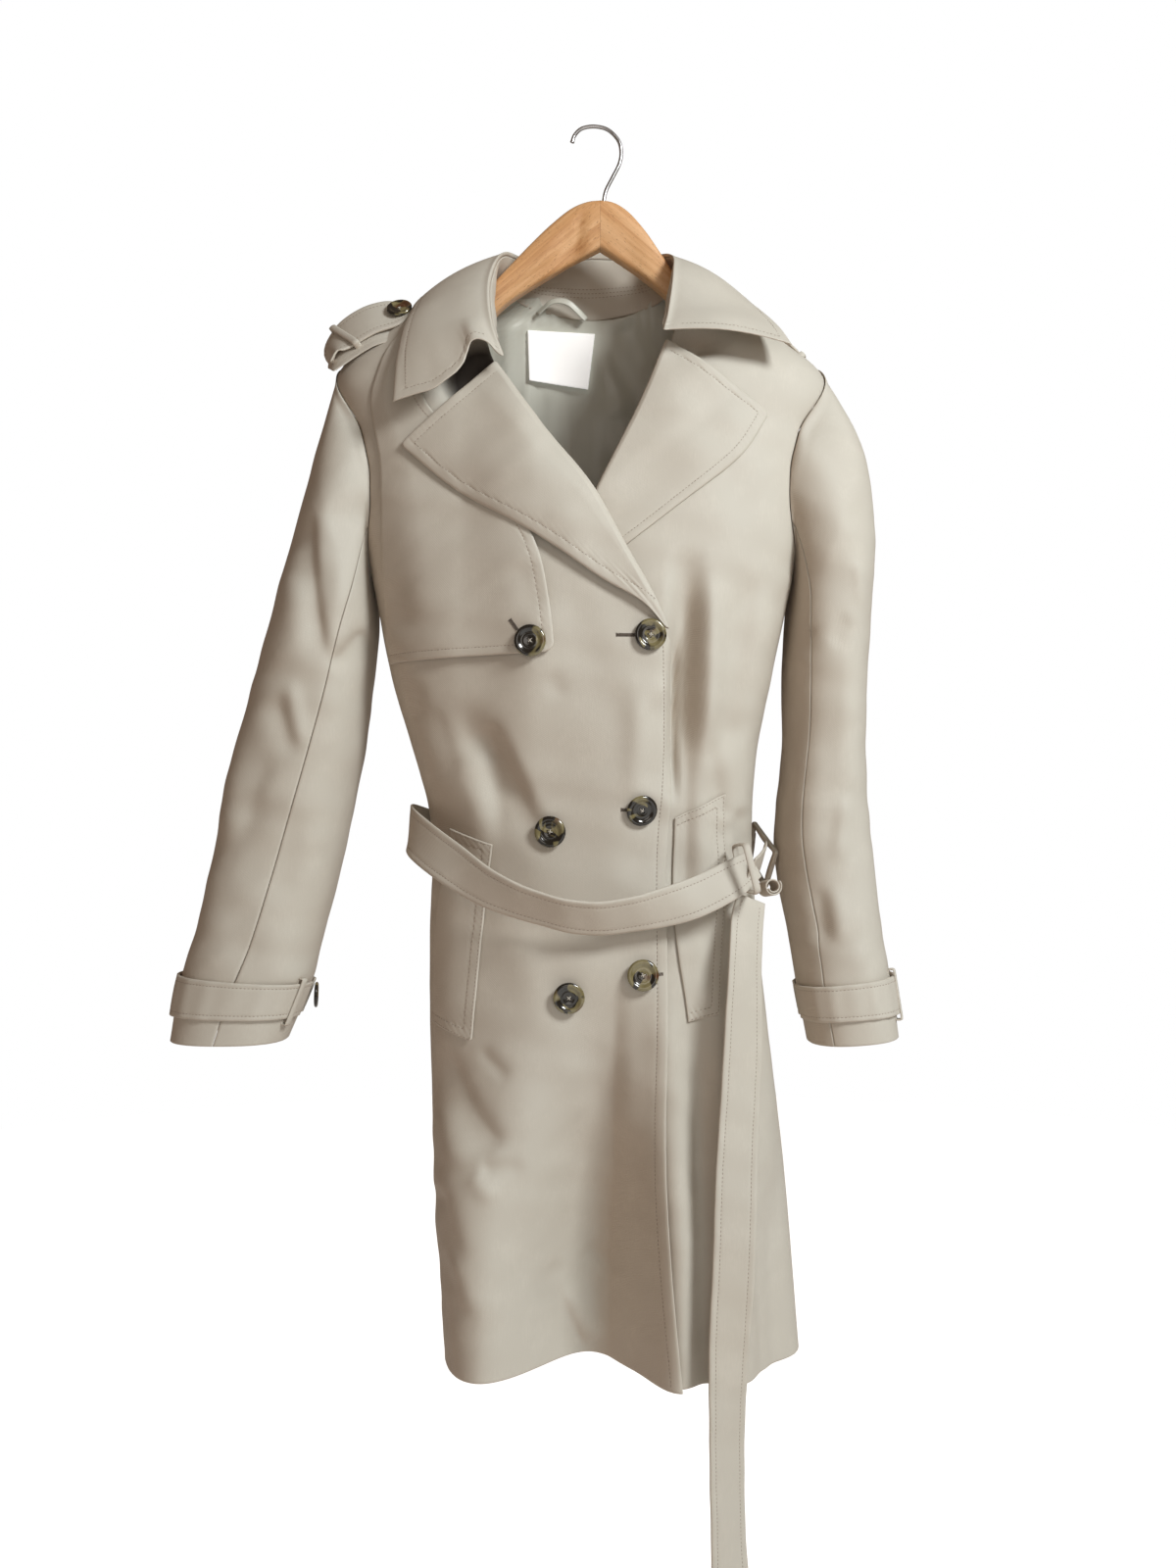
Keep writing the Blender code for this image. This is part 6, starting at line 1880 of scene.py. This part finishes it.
def button_form():
    """Points and faces of one button about its own axis, with its four holes cut through."""
    steps = 56
    profile = np.array(BUTTON_FACE) / 1000
    turn = np.linspace(0, 2 * math.pi, steps, endpoint=False)
    mesh = bmesh.new()
    rings = []
    for radius, height in profile[1:-1]:
        rings.append([mesh.verts.new((radius * math.cos(a), radius * math.sin(a), height)) for a in turn])
    top, bottom = mesh.verts.new((0, 0, profile[0][1])), mesh.verts.new((0, 0, 0))
    for j in range(steps):
        k = (j + 1) % steps
        mesh.faces.new((top, rings[0][j], rings[0][k]))
        mesh.faces.new((bottom, rings[-1][k], rings[-1][j]))
        for a, b in zip(rings, rings[1:]):
            mesh.faces.new((a[j], b[j], b[k], a[k]))
    body = bpy.data.meshes.new("button_blank")
    mesh.to_mesh(body)
    mesh.free()
    cutters = bmesh.new()
    for a in (45, 135, 225, 315):
        middle = [HOLE_OFFSET * 1.41 * math.cos(math.radians(a)), HOLE_OFFSET * 1.41 * math.sin(math.radians(a)), 0.001]
        made = bmesh.ops.create_cone(
            cutters, cap_ends=True, segments=16, radius1=HOLE_RADIUS, radius2=HOLE_RADIUS, depth=0.008
        )
        bmesh.ops.translate(cutters, verts=made["verts"], vec=middle)
    cutter_mesh = bpy.data.meshes.new("hole_cutters")
    cutters.to_mesh(cutter_mesh)
    cutters.free()
    blank = bpy.data.objects.new("button_blank", body)
    cutter = bpy.data.objects.new("hole_cutters", cutter_mesh)
    for made in (blank, cutter):
        bpy.context.scene.collection.objects.link(made)
    cut = blank.modifiers.new("holes", "BOOLEAN")
    cut.operation = "DIFFERENCE"
    cut.solver = "EXACT"
    cut.object = cutter
    result = bpy.data.meshes.new_from_object(blank.evaluated_get(bpy.context.evaluated_depsgraph_get()))
    points = np.array([v.co for v in result.vertices])
    faces = [list(face.vertices) for face in result.polygons]
    for made in (blank, cutter):
        bpy.data.objects.remove(made)
    for mesh in (body, cutter_mesh, result):
        bpy.data.meshes.remove(mesh)
    return points, faces


def surface_facing(face, x, z, lift):
    """Point and outward direction of the body's surface there, read over the width of a button."""
    reach = 0.010
    point = on_body(face, x, z, lift)
    across = on_body(face, x + reach, z, lift) - on_body(face, x - reach, z, lift)
    upward = on_body(face, x, z + reach, lift) - on_body(face, x, z - reach, lift)
    return point, np.cross(across, upward) * -face


def threads(place, one, two, facing, scale):
    """Points and faces of the thread cross in a button's holes."""
    points, faces = [], []
    h = HOLE_OFFSET * scale
    top = 0.00215 * scale
    for a, b in (((-h, -h), (h, h)), ((-h, h), (h, -h))):
        for shift in (-0.00022, 0.00022):
            ring_points = []
            for k, t in enumerate(np.linspace(0, 1, 7)):
                x, y = a[0] + (b[0] - a[0]) * t, a[1] + (b[1] - a[1]) * t
                rise = top + 0.00055 * math.sin(math.pi * t) - 0.0012 * (1 - math.sin(math.pi * t)) ** 4
                centre = place + one * x + two * y + facing * rise
                way = unit(one * (b[0] - a[0]) + two * (b[1] - a[1]))
                side = unit(np.cross(way, facing))
                centre = centre + side * shift
                ring_points.append(
                    [
                        centre + side * math.cos(w) * 0.00024 + facing * math.sin(w) * 0.00024
                        for w in np.linspace(0, 2 * math.pi, 7)[:-1]
                    ]
                )
            base = len(points)
            points += [p for ring in ring_points for p in ring]
            for k in range(6):
                for j in range(6):
                    q = (j + 1) % 6
                    faces.append([base + k * 6 + j, base + k * 6 + q, base + k * 6 + 6 + q, base + k * 6 + 6 + j])
            faces += [[base + j for j in range(6)], [base + 36 + j for j in range(6)]]
    return points, faces


def button(form, name, place, facing, scale=1.0, turn=0.0):
    facing = unit(facing)
    one = unit(np.cross(facing, (0.31, 0.0, 0.95)))
    two = np.cross(facing, one)
    one, two = one * math.cos(turn) + two * math.sin(turn), two * math.cos(turn) - one * math.sin(turn)
    place = np.asarray(place, float)
    points, faces = form
    placed = place + scale * (points @ np.stack([one, two, facing]))
    made = {name: new_piece(f"{name}_horn", placed, faces, "horn", [name], sharp=50)}
    made[name + "_thread"] = new_piece(f"{name}_thread", *threads(place, one, two, facing, scale), "button_thread")
    return made


def make_buttons():
    made = {}
    form = button_form()
    for number in range(1, 6):
        x, z, lift = [FRONT_BUTTONS(column, number) for column in ("x", "z", "lift")]
        made.update(button(form, f"button_front_{number}", *surface_facing(FRONT, x, z, lift + 0.0012), turn=number))
    made.update(button(form, "button_flap", *surface_facing(FRONT, -0.0560, -0.4974, 0.0178), turn=0.4))
    for side, word, table in ((RIGHT, "right", EPAULETTE_RIGHT), (LEFT, "left", EPAULETTE_LEFT)):
        s = 0.84
        middle = np.array([table(axis, s) for axis in "xyz"])
        across = table.point("across", np.array(s))
        along = np.array([table(axis, s + 0.05) - table(axis, s - 0.05) for axis in "xyz"])
        facing = unit(np.cross(across, along))
        facing = facing * np.sign(facing[2])
        made.update(button(form, f"button_epaulette_{word}", middle + facing * 0.0022, facing, 0.86))
        theta, v = math.radians(188 if side == RIGHT else -35), 0.903
        point = sleeve_point(side, theta, v, 0.0068)
        facing = sleeve_point(side, theta, v, 0.02) - sleeve_point(side, theta, v, 0.0)
        made.update(button(form, f"button_cuff_{word}", point, facing, 0.86))
    return made


# Buttonholes: x and z of the two ends and how far the cloth there stands off the body
BUTTONHOLES = [
    ("front_1", 0.0180, -0.4920, 0.0345, -0.4920, 0.0),
    ("front_2", 0.0225, -0.6440, 0.0300, -0.6444, 0.0),
    ("front_3", 0.0530, -0.7905, 0.0590, -0.7902, 0.0),
    ("flap", -0.0735, -0.4790, -0.0670, -0.4880, 1.0),
]


def make_buttonholes():
    made = {}
    for name, x1, z1, x2, z2, on_flap in BUTTONHOLES:
        ahead = np.array([x2 - x1, z2 - z1])
        length = np.hypot(*ahead)
        way = ahead / length
        aside = np.array([-way[1], way[0]])

        def at(along, off, more):
            x = x1 + way[0] * along + aside[0] * off
            z = z1 + way[1] * along + aside[1] * off
            return on_body(FRONT, x, z, front_lift(x, z) + on_flap * 0.0058 + more)

        t = np.linspace(0, 1, 40) * length
        for off in (-0.0011, 0.0011):
            sew(name, at(t, off + 0 * t, 0.0001), at(t, off + 0 * t, 0.001), 0.0011, 0.0008, 0.00042)
        t = np.linspace(-0.0019, 0.0019, 12)
        sew(name, at(0 * t, t, 0.0001), at(0 * t, t, 0.001), 0.0011, 0.0008, 0.00045)
        made[f"buttonhole_{name}"] = finish_stitches(name, "hole_thread")
        # Painted shade: a thin dark sheet of the buttonhole thread between the two rows stands for the shadow in the
        # open cut.
        along = np.linspace(0.0004, length, 14)[:, None]
        off = np.linspace(-0.0006, 0.0006, 4)[None, :]
        along, off = np.broadcast_arrays(along, off)
        made[f"buttonhole_{name}_slit"] = wall(
            f"{name}_slit", lambda more: at(along, off, 0.00025 + more), along.shape, "hole_thread", 0.0004
        )
    return made


# ---- Hanger ---------------------------------------------------------------------------------------

ARM = "x top bottom half_thick y"
HANGER_RIGHT = Table(ARM, [
    (-0.2140, -0.2330, -0.2600, 0.0150, -0.0030),
    (-0.1900, -0.2190, -0.2500, 0.0140, -0.0020),
    (-0.1500, -0.1930, -0.2270, 0.0120, 0.0000),
    (-0.1100, -0.1630, -0.1950, 0.0110, 0.0000),
    (-0.0850, -0.1370, -0.1690, 0.0105, 0.0000),
    (-0.0600, -0.1110, -0.1520, 0.0110, 0.0000),
    (-0.0400, -0.0920, -0.1400, 0.0115, 0.0000),
    (-0.0200, -0.0770, -0.1285, 0.0120, 0.0000),
    (-0.0060, -0.0718, -0.1215, 0.0125, 0.0000),
    (0.0050, -0.0707, -0.1160, 0.0125, 0.0000),
])
HANGER_LEFT = Table(ARM, [
    (0.0050, -0.0707, -0.1160, 0.0125, 0.0000),
    (0.0160, -0.0722, -0.1230, 0.0125, 0.0000),
    (0.0300, -0.0800, -0.1325, 0.0120, 0.0000),
    (0.0450, -0.0960, -0.1430, 0.0115, 0.0000),
    (0.0680, -0.1290, -0.1625, 0.0100, 0.0000),
    (0.0900, -0.1610, -0.1890, 0.0100, 0.0000),
    (0.1300, -0.1880, -0.2180, 0.0120, 0.0000),
    (0.1650, -0.2160, -0.2460, 0.0140, -0.0020),
    (0.1880, -0.2330, -0.2590, 0.0150, -0.0030),
])
HANGER_PLANED = Table(
    "x z",
    [(-0.110, -0.1640), (-0.0990, -0.1580), (-0.0620, -0.1359), (-0.0340, -0.1146), (-0.0115, -0.0796), (0.01, -0.060)],
)
HOOK = Table("s x z", [
    (0.00, -0.0218, -0.0138),
    (0.10, -0.0190, -0.0060),
    (0.20, -0.0120, 0.0002),
    (0.30, 0.0000, 0.0020),
    (0.40, 0.0125, -0.0012),
    (0.50, 0.0222, -0.0110),
    (0.60, 0.0250, -0.0225),
    (0.70, 0.0230, -0.0340),
    (0.80, 0.0165, -0.0470),
    (0.90, 0.0105, -0.0590),
    (1.00, 0.0082, -0.0700),
])
HOOK_WIRE = 0.0018


def make_hanger():
    made = {}
    x = np.concatenate(
        [[-0.2140, -0.2136], np.linspace(-0.213, 0.005, 84), np.linspace(0.007, 0.187, 70), [0.1876, 0.1880]]
    )[:, None]
    turn = np.radians(np.arange(0, 360, 5) + 2.5)[None, :]
    wave, rise = np.cos(turn), np.sin(turn)
    square = 5.0
    wave = np.sign(wave) * np.abs(wave) ** (2 / square)
    rise = np.sign(rise) * np.abs(rise) ** (2 / square)
    top, bottom, half_thick, y = [
        np.where(x < 0.005, HANGER_RIGHT(column, x), HANGER_LEFT(column, x))
        for column in ("top", "bottom", "half_thick", "y")
    ]
    end = np.minimum(1.0, 0.55 + np.minimum(x + 0.2140, 0.1880 - x) / 0.004)
    scoop = 0.0028 * smooth_step((0.055 - np.abs(x - 0.005)) / 0.030) * np.clip(rise * -1.2 + 0.3, 0, 1)
    thick = half_thick * end - scoop
    height = (top + bottom) / 2 + (top - bottom) / 2 * rise * end
    planed = smooth_step((HANGER_PLANED("z", x) - height) / 0.009) * smooth_step((-0.004 - x) / 0.016)
    planed = 0.0030 * planed * np.clip(-wave * 2, 0, 1)
    rings = np.stack([x + 0 * turn, y + thick * wave + planed, height], axis=-1)
    made["hanger_body"] = loft("hanger_wood", rings, "beech", ["hanger_body"])
    s = np.linspace(0, 1, 120)
    line = np.stack([HOOK("x", s), 0 * s, HOOK("z", s)], axis=-1)
    along = unit(np.gradient(line, axis=0))
    side = np.array([0.0, 1.0, 0.0])
    out = np.cross(along, side)
    ball = np.sqrt(np.clip(1 - (1 - np.clip(s / 0.012, 0, 1)) ** 2, 0.02, 1))
    tip = 1 + 0.22 * np.exp(-(((s - 0.012) / 0.012) ** 2))
    radius = (HOOK_WIRE * ball * tip)[:, None, None]
    turn = np.radians(np.arange(0, 360, 24))[None, :, None]
    rings = line[:, None, :] + radius * (np.cos(turn) * side + np.sin(turn) * out[:, None, :])
    made["hanger_hook"] = loft("hanger_hook_wire", rings, "chrome", ["hanger_hook"])
    return made


# ---- Cloth sizes, stage, lights and camera --------------------------------------------------------

# Each sheet's cut: width, length, how it is held, what it rests on and, where it isn't a rectangle, its flat area
HANGER = ("hanger_body",)
ON_RIGHT = ("front_right",)
ON_LEFT = ("front_left",)
CUTS = {
    "front_right": (0.300, 1.060, "hung", HANGER, None),
    "front_left": (0.300, 1.060, "hung", HANGER, None),
    "back_right": (0.250, 1.060, "hung", HANGER, None),
    "back_left": (0.250, 1.060, "hung", HANGER, None),
    "storm_shield": (0.400, 0.360, "hung", ("back_right", "back_left"), None),
    "gun_flap_right": (0.170, 0.340, "laid", ON_RIGHT, 0.0385),
    "lapel_right": (0.130, 0.270, "folded", ON_RIGHT, 0.0270),
    "lapel_left": (0.120, 0.240, "folded", ON_LEFT, 0.0225),
    "pocket_right": (0.058, 0.187, "laid", ON_RIGHT, None),
    "pocket_left": (0.048, 0.200, "laid", ON_LEFT, None),
    "collar_fall": (0.115, 0.520, "folded", ("collar_stand",), None),
    "collar_stand": (0.042, 0.400, "hung", ("back_right", "back_left"), None),
    "sleeve_right_upper": (0.300, 0.620, "hung", HANGER, 0.150),
    "sleeve_right_under": (0.145, 0.480, "hung", ("sleeve_right_upper",), None),
    "sleeve_left_upper": (0.300, 0.620, "hung", HANGER, 0.145),
    "sleeve_left_under": (0.145, 0.480, "hung", ("sleeve_left_upper",), None),
    "epaulette_right": (0.040, 0.110, "laid", ON_RIGHT, None),
    "epaulette_right_under": (0.029, 0.090, "laid", ON_RIGHT, None),
    "epaulette_left": (0.040, 0.110, "laid", ("storm_shield",), None),
    "epaulette_loop_right": (0.010, 0.105, "folded", ("epaulette_right",), None),
    "epaulette_loop_left": (0.010, 0.105, "folded", ("epaulette_left",), None),
    "cuff_strap_right": (0.042, 0.310, "laid", ("sleeve_right_upper",), None),
    "cuff_strap_left": (0.042, 0.310, "laid", ("sleeve_left_upper",), None),
    "cuff_loop_right": (0.010, 0.098, "folded", ("cuff_strap_right",), None),
    "cuff_loop_left": (0.010, 0.098, "folded", ("cuff_strap_left",), None),
    "belt_round": (0.037, 0.880, "hung", ("belt_loop_right", "belt_loop_left"), None),
    "belt_tail": (0.038, 0.680, "hung", ("belt_keeper",), None),
    "belt_end": (0.032, 0.098, "folded", ("belt_buckle",), None),
    "belt_roll": (0.024, 0.075, "folded", ("belt_keeper",), None),
    "belt_keeper": (0.010, 0.145, "folded", ("belt_round",), None),
    "belt_loop_right": (0.010, 0.140, "folded", ("back_right",), None),
    "belt_loop_left": (0.010, 0.140, "folded", ("back_left",), None),
    "lining_back": (0.440, 0.440, "hung", HANGER, None),
    "label": (0.066, 0.0515, "laid", ("lining_back",), None),
    "hang_loop": (0.010, 0.055, "folded", ("lining_back",), None),
}


def declare_cloth(made):
    for name, (width, length, held, rests_on, area) in CUTS.items():
        along = [made[key] for key in made if key == name + "_stitches"]
        list(rests_on)


def make_stage():
    floor_z = -1.460
    mesh = bpy.data.meshes.new("studio_floor")
    steps = np.linspace(0, 2 * math.pi, 97)[:-1]
    rings = [2.6 * radius for radius in (0.25, 0.5, 0.75, 1.0)]
    points = [(0.0, 0.0, floor_z)] + [(r * math.cos(a), r * math.sin(a), floor_z) for r in rings for a in steps]
    faces = [[0, 1 + j, 1 + (j + 1) % 96] for j in range(96)]
    for i in range(3):
        a, b = 1 + i * 96, 1 + (i + 1) * 96
        faces += [[a + j, b + j, b + (j + 1) % 96, a + (j + 1) % 96] for j in range(96)]
    mesh.from_pydata(points, [], faces)
    mesh.materials.append(studio_floor())
    floor = bpy.data.objects.new("studio_floor", mesh)
    bpy.context.scene.collection.objects.link(floor)
    floor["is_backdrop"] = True


def area_light(name, place, aim, size, power, colour):
    lamp = bpy.data.lights.new(name, "AREA")
    lamp.shape = "DISK"
    lamp.size = size
    lamp.energy = power
    lamp.color = colour
    holder = bpy.data.objects.new(name, lamp)
    holder.location = place
    holder.rotation_euler = (Vector(aim) - Vector(place)).to_track_quat("-Z", "Y").to_euler()
    bpy.context.scene.collection.objects.link(holder)


def make_light():
    area_light("window", (1.35, -1.50, 0.70), (0.0, 0.0, -0.55), 0.7, 43, (0.985, 1.0, 0.990))
    area_light("room", (0.2, -2.6, -0.3), (0.0, 0.0, -0.60), 1.4, 7, (1.0, 0.94, 0.88))
    world = bpy.data.worlds.new("studio")
    bpy.context.scene.world = world
    world.use_nodes = True
    tree = world.node_tree
    shade = tree.nodes["Background"]
    shade.inputs["Color"].default_value = (1.0, 0.76, 0.58, 1.0)
    shade.inputs["Strength"].default_value = 0.18
    white = tree.nodes.new("ShaderNodeBackground")
    white.inputs["Color"].default_value = (1.0, 1.0, 1.0, 1.0)
    white.inputs["Strength"].default_value = 1.0
    seen = tree.nodes.new("ShaderNodeLightPath")
    choose = tree.nodes.new("ShaderNodeMixShader")
    tree.links.new(seen.outputs["Is Camera Ray"], choose.inputs[0])
    tree.links.new(shade.outputs[0], choose.inputs[1])
    tree.links.new(white.outputs[0], choose.inputs[2])
    tree.links.new(choose.outputs[0], tree.nodes["World Output"].inputs["Surface"])
    settings = bpy.context.scene.view_settings
    settings.view_transform = "Standard"
    settings.look = "None"


def make_camera():
    lens = bpy.data.cameras.new("camera")
    lens.sensor_fit = "VERTICAL"
    lens.sensor_height = 24.0
    lens.lens = 22.575
    camera = bpy.data.objects.new("camera", lens)
    camera.location = (-0.0065, -1.400, -0.622)
    camera.rotation_euler = (math.radians(90), 0.0, 0.0)
    bpy.context.scene.collection.objects.link(camera)
    bpy.context.scene.camera = camera


pieces = {}
for make in (
    make_body,
    make_laid_pieces,
    make_collar,
    make_sleeves,
    make_epaulettes,
    make_cuffs,
    make_belt,
    make_inside,
    make_buttons,
    make_buttonholes,
    make_hanger,
):
    pieces.update(make())
declare_cloth(pieces)
make_stage()
make_light()
make_camera()

boxes = {"cad": CAD_BOX, "visual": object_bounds()}
{name: [[float(n) for n in corner] for corner in box] for name, box in boxes.items()}
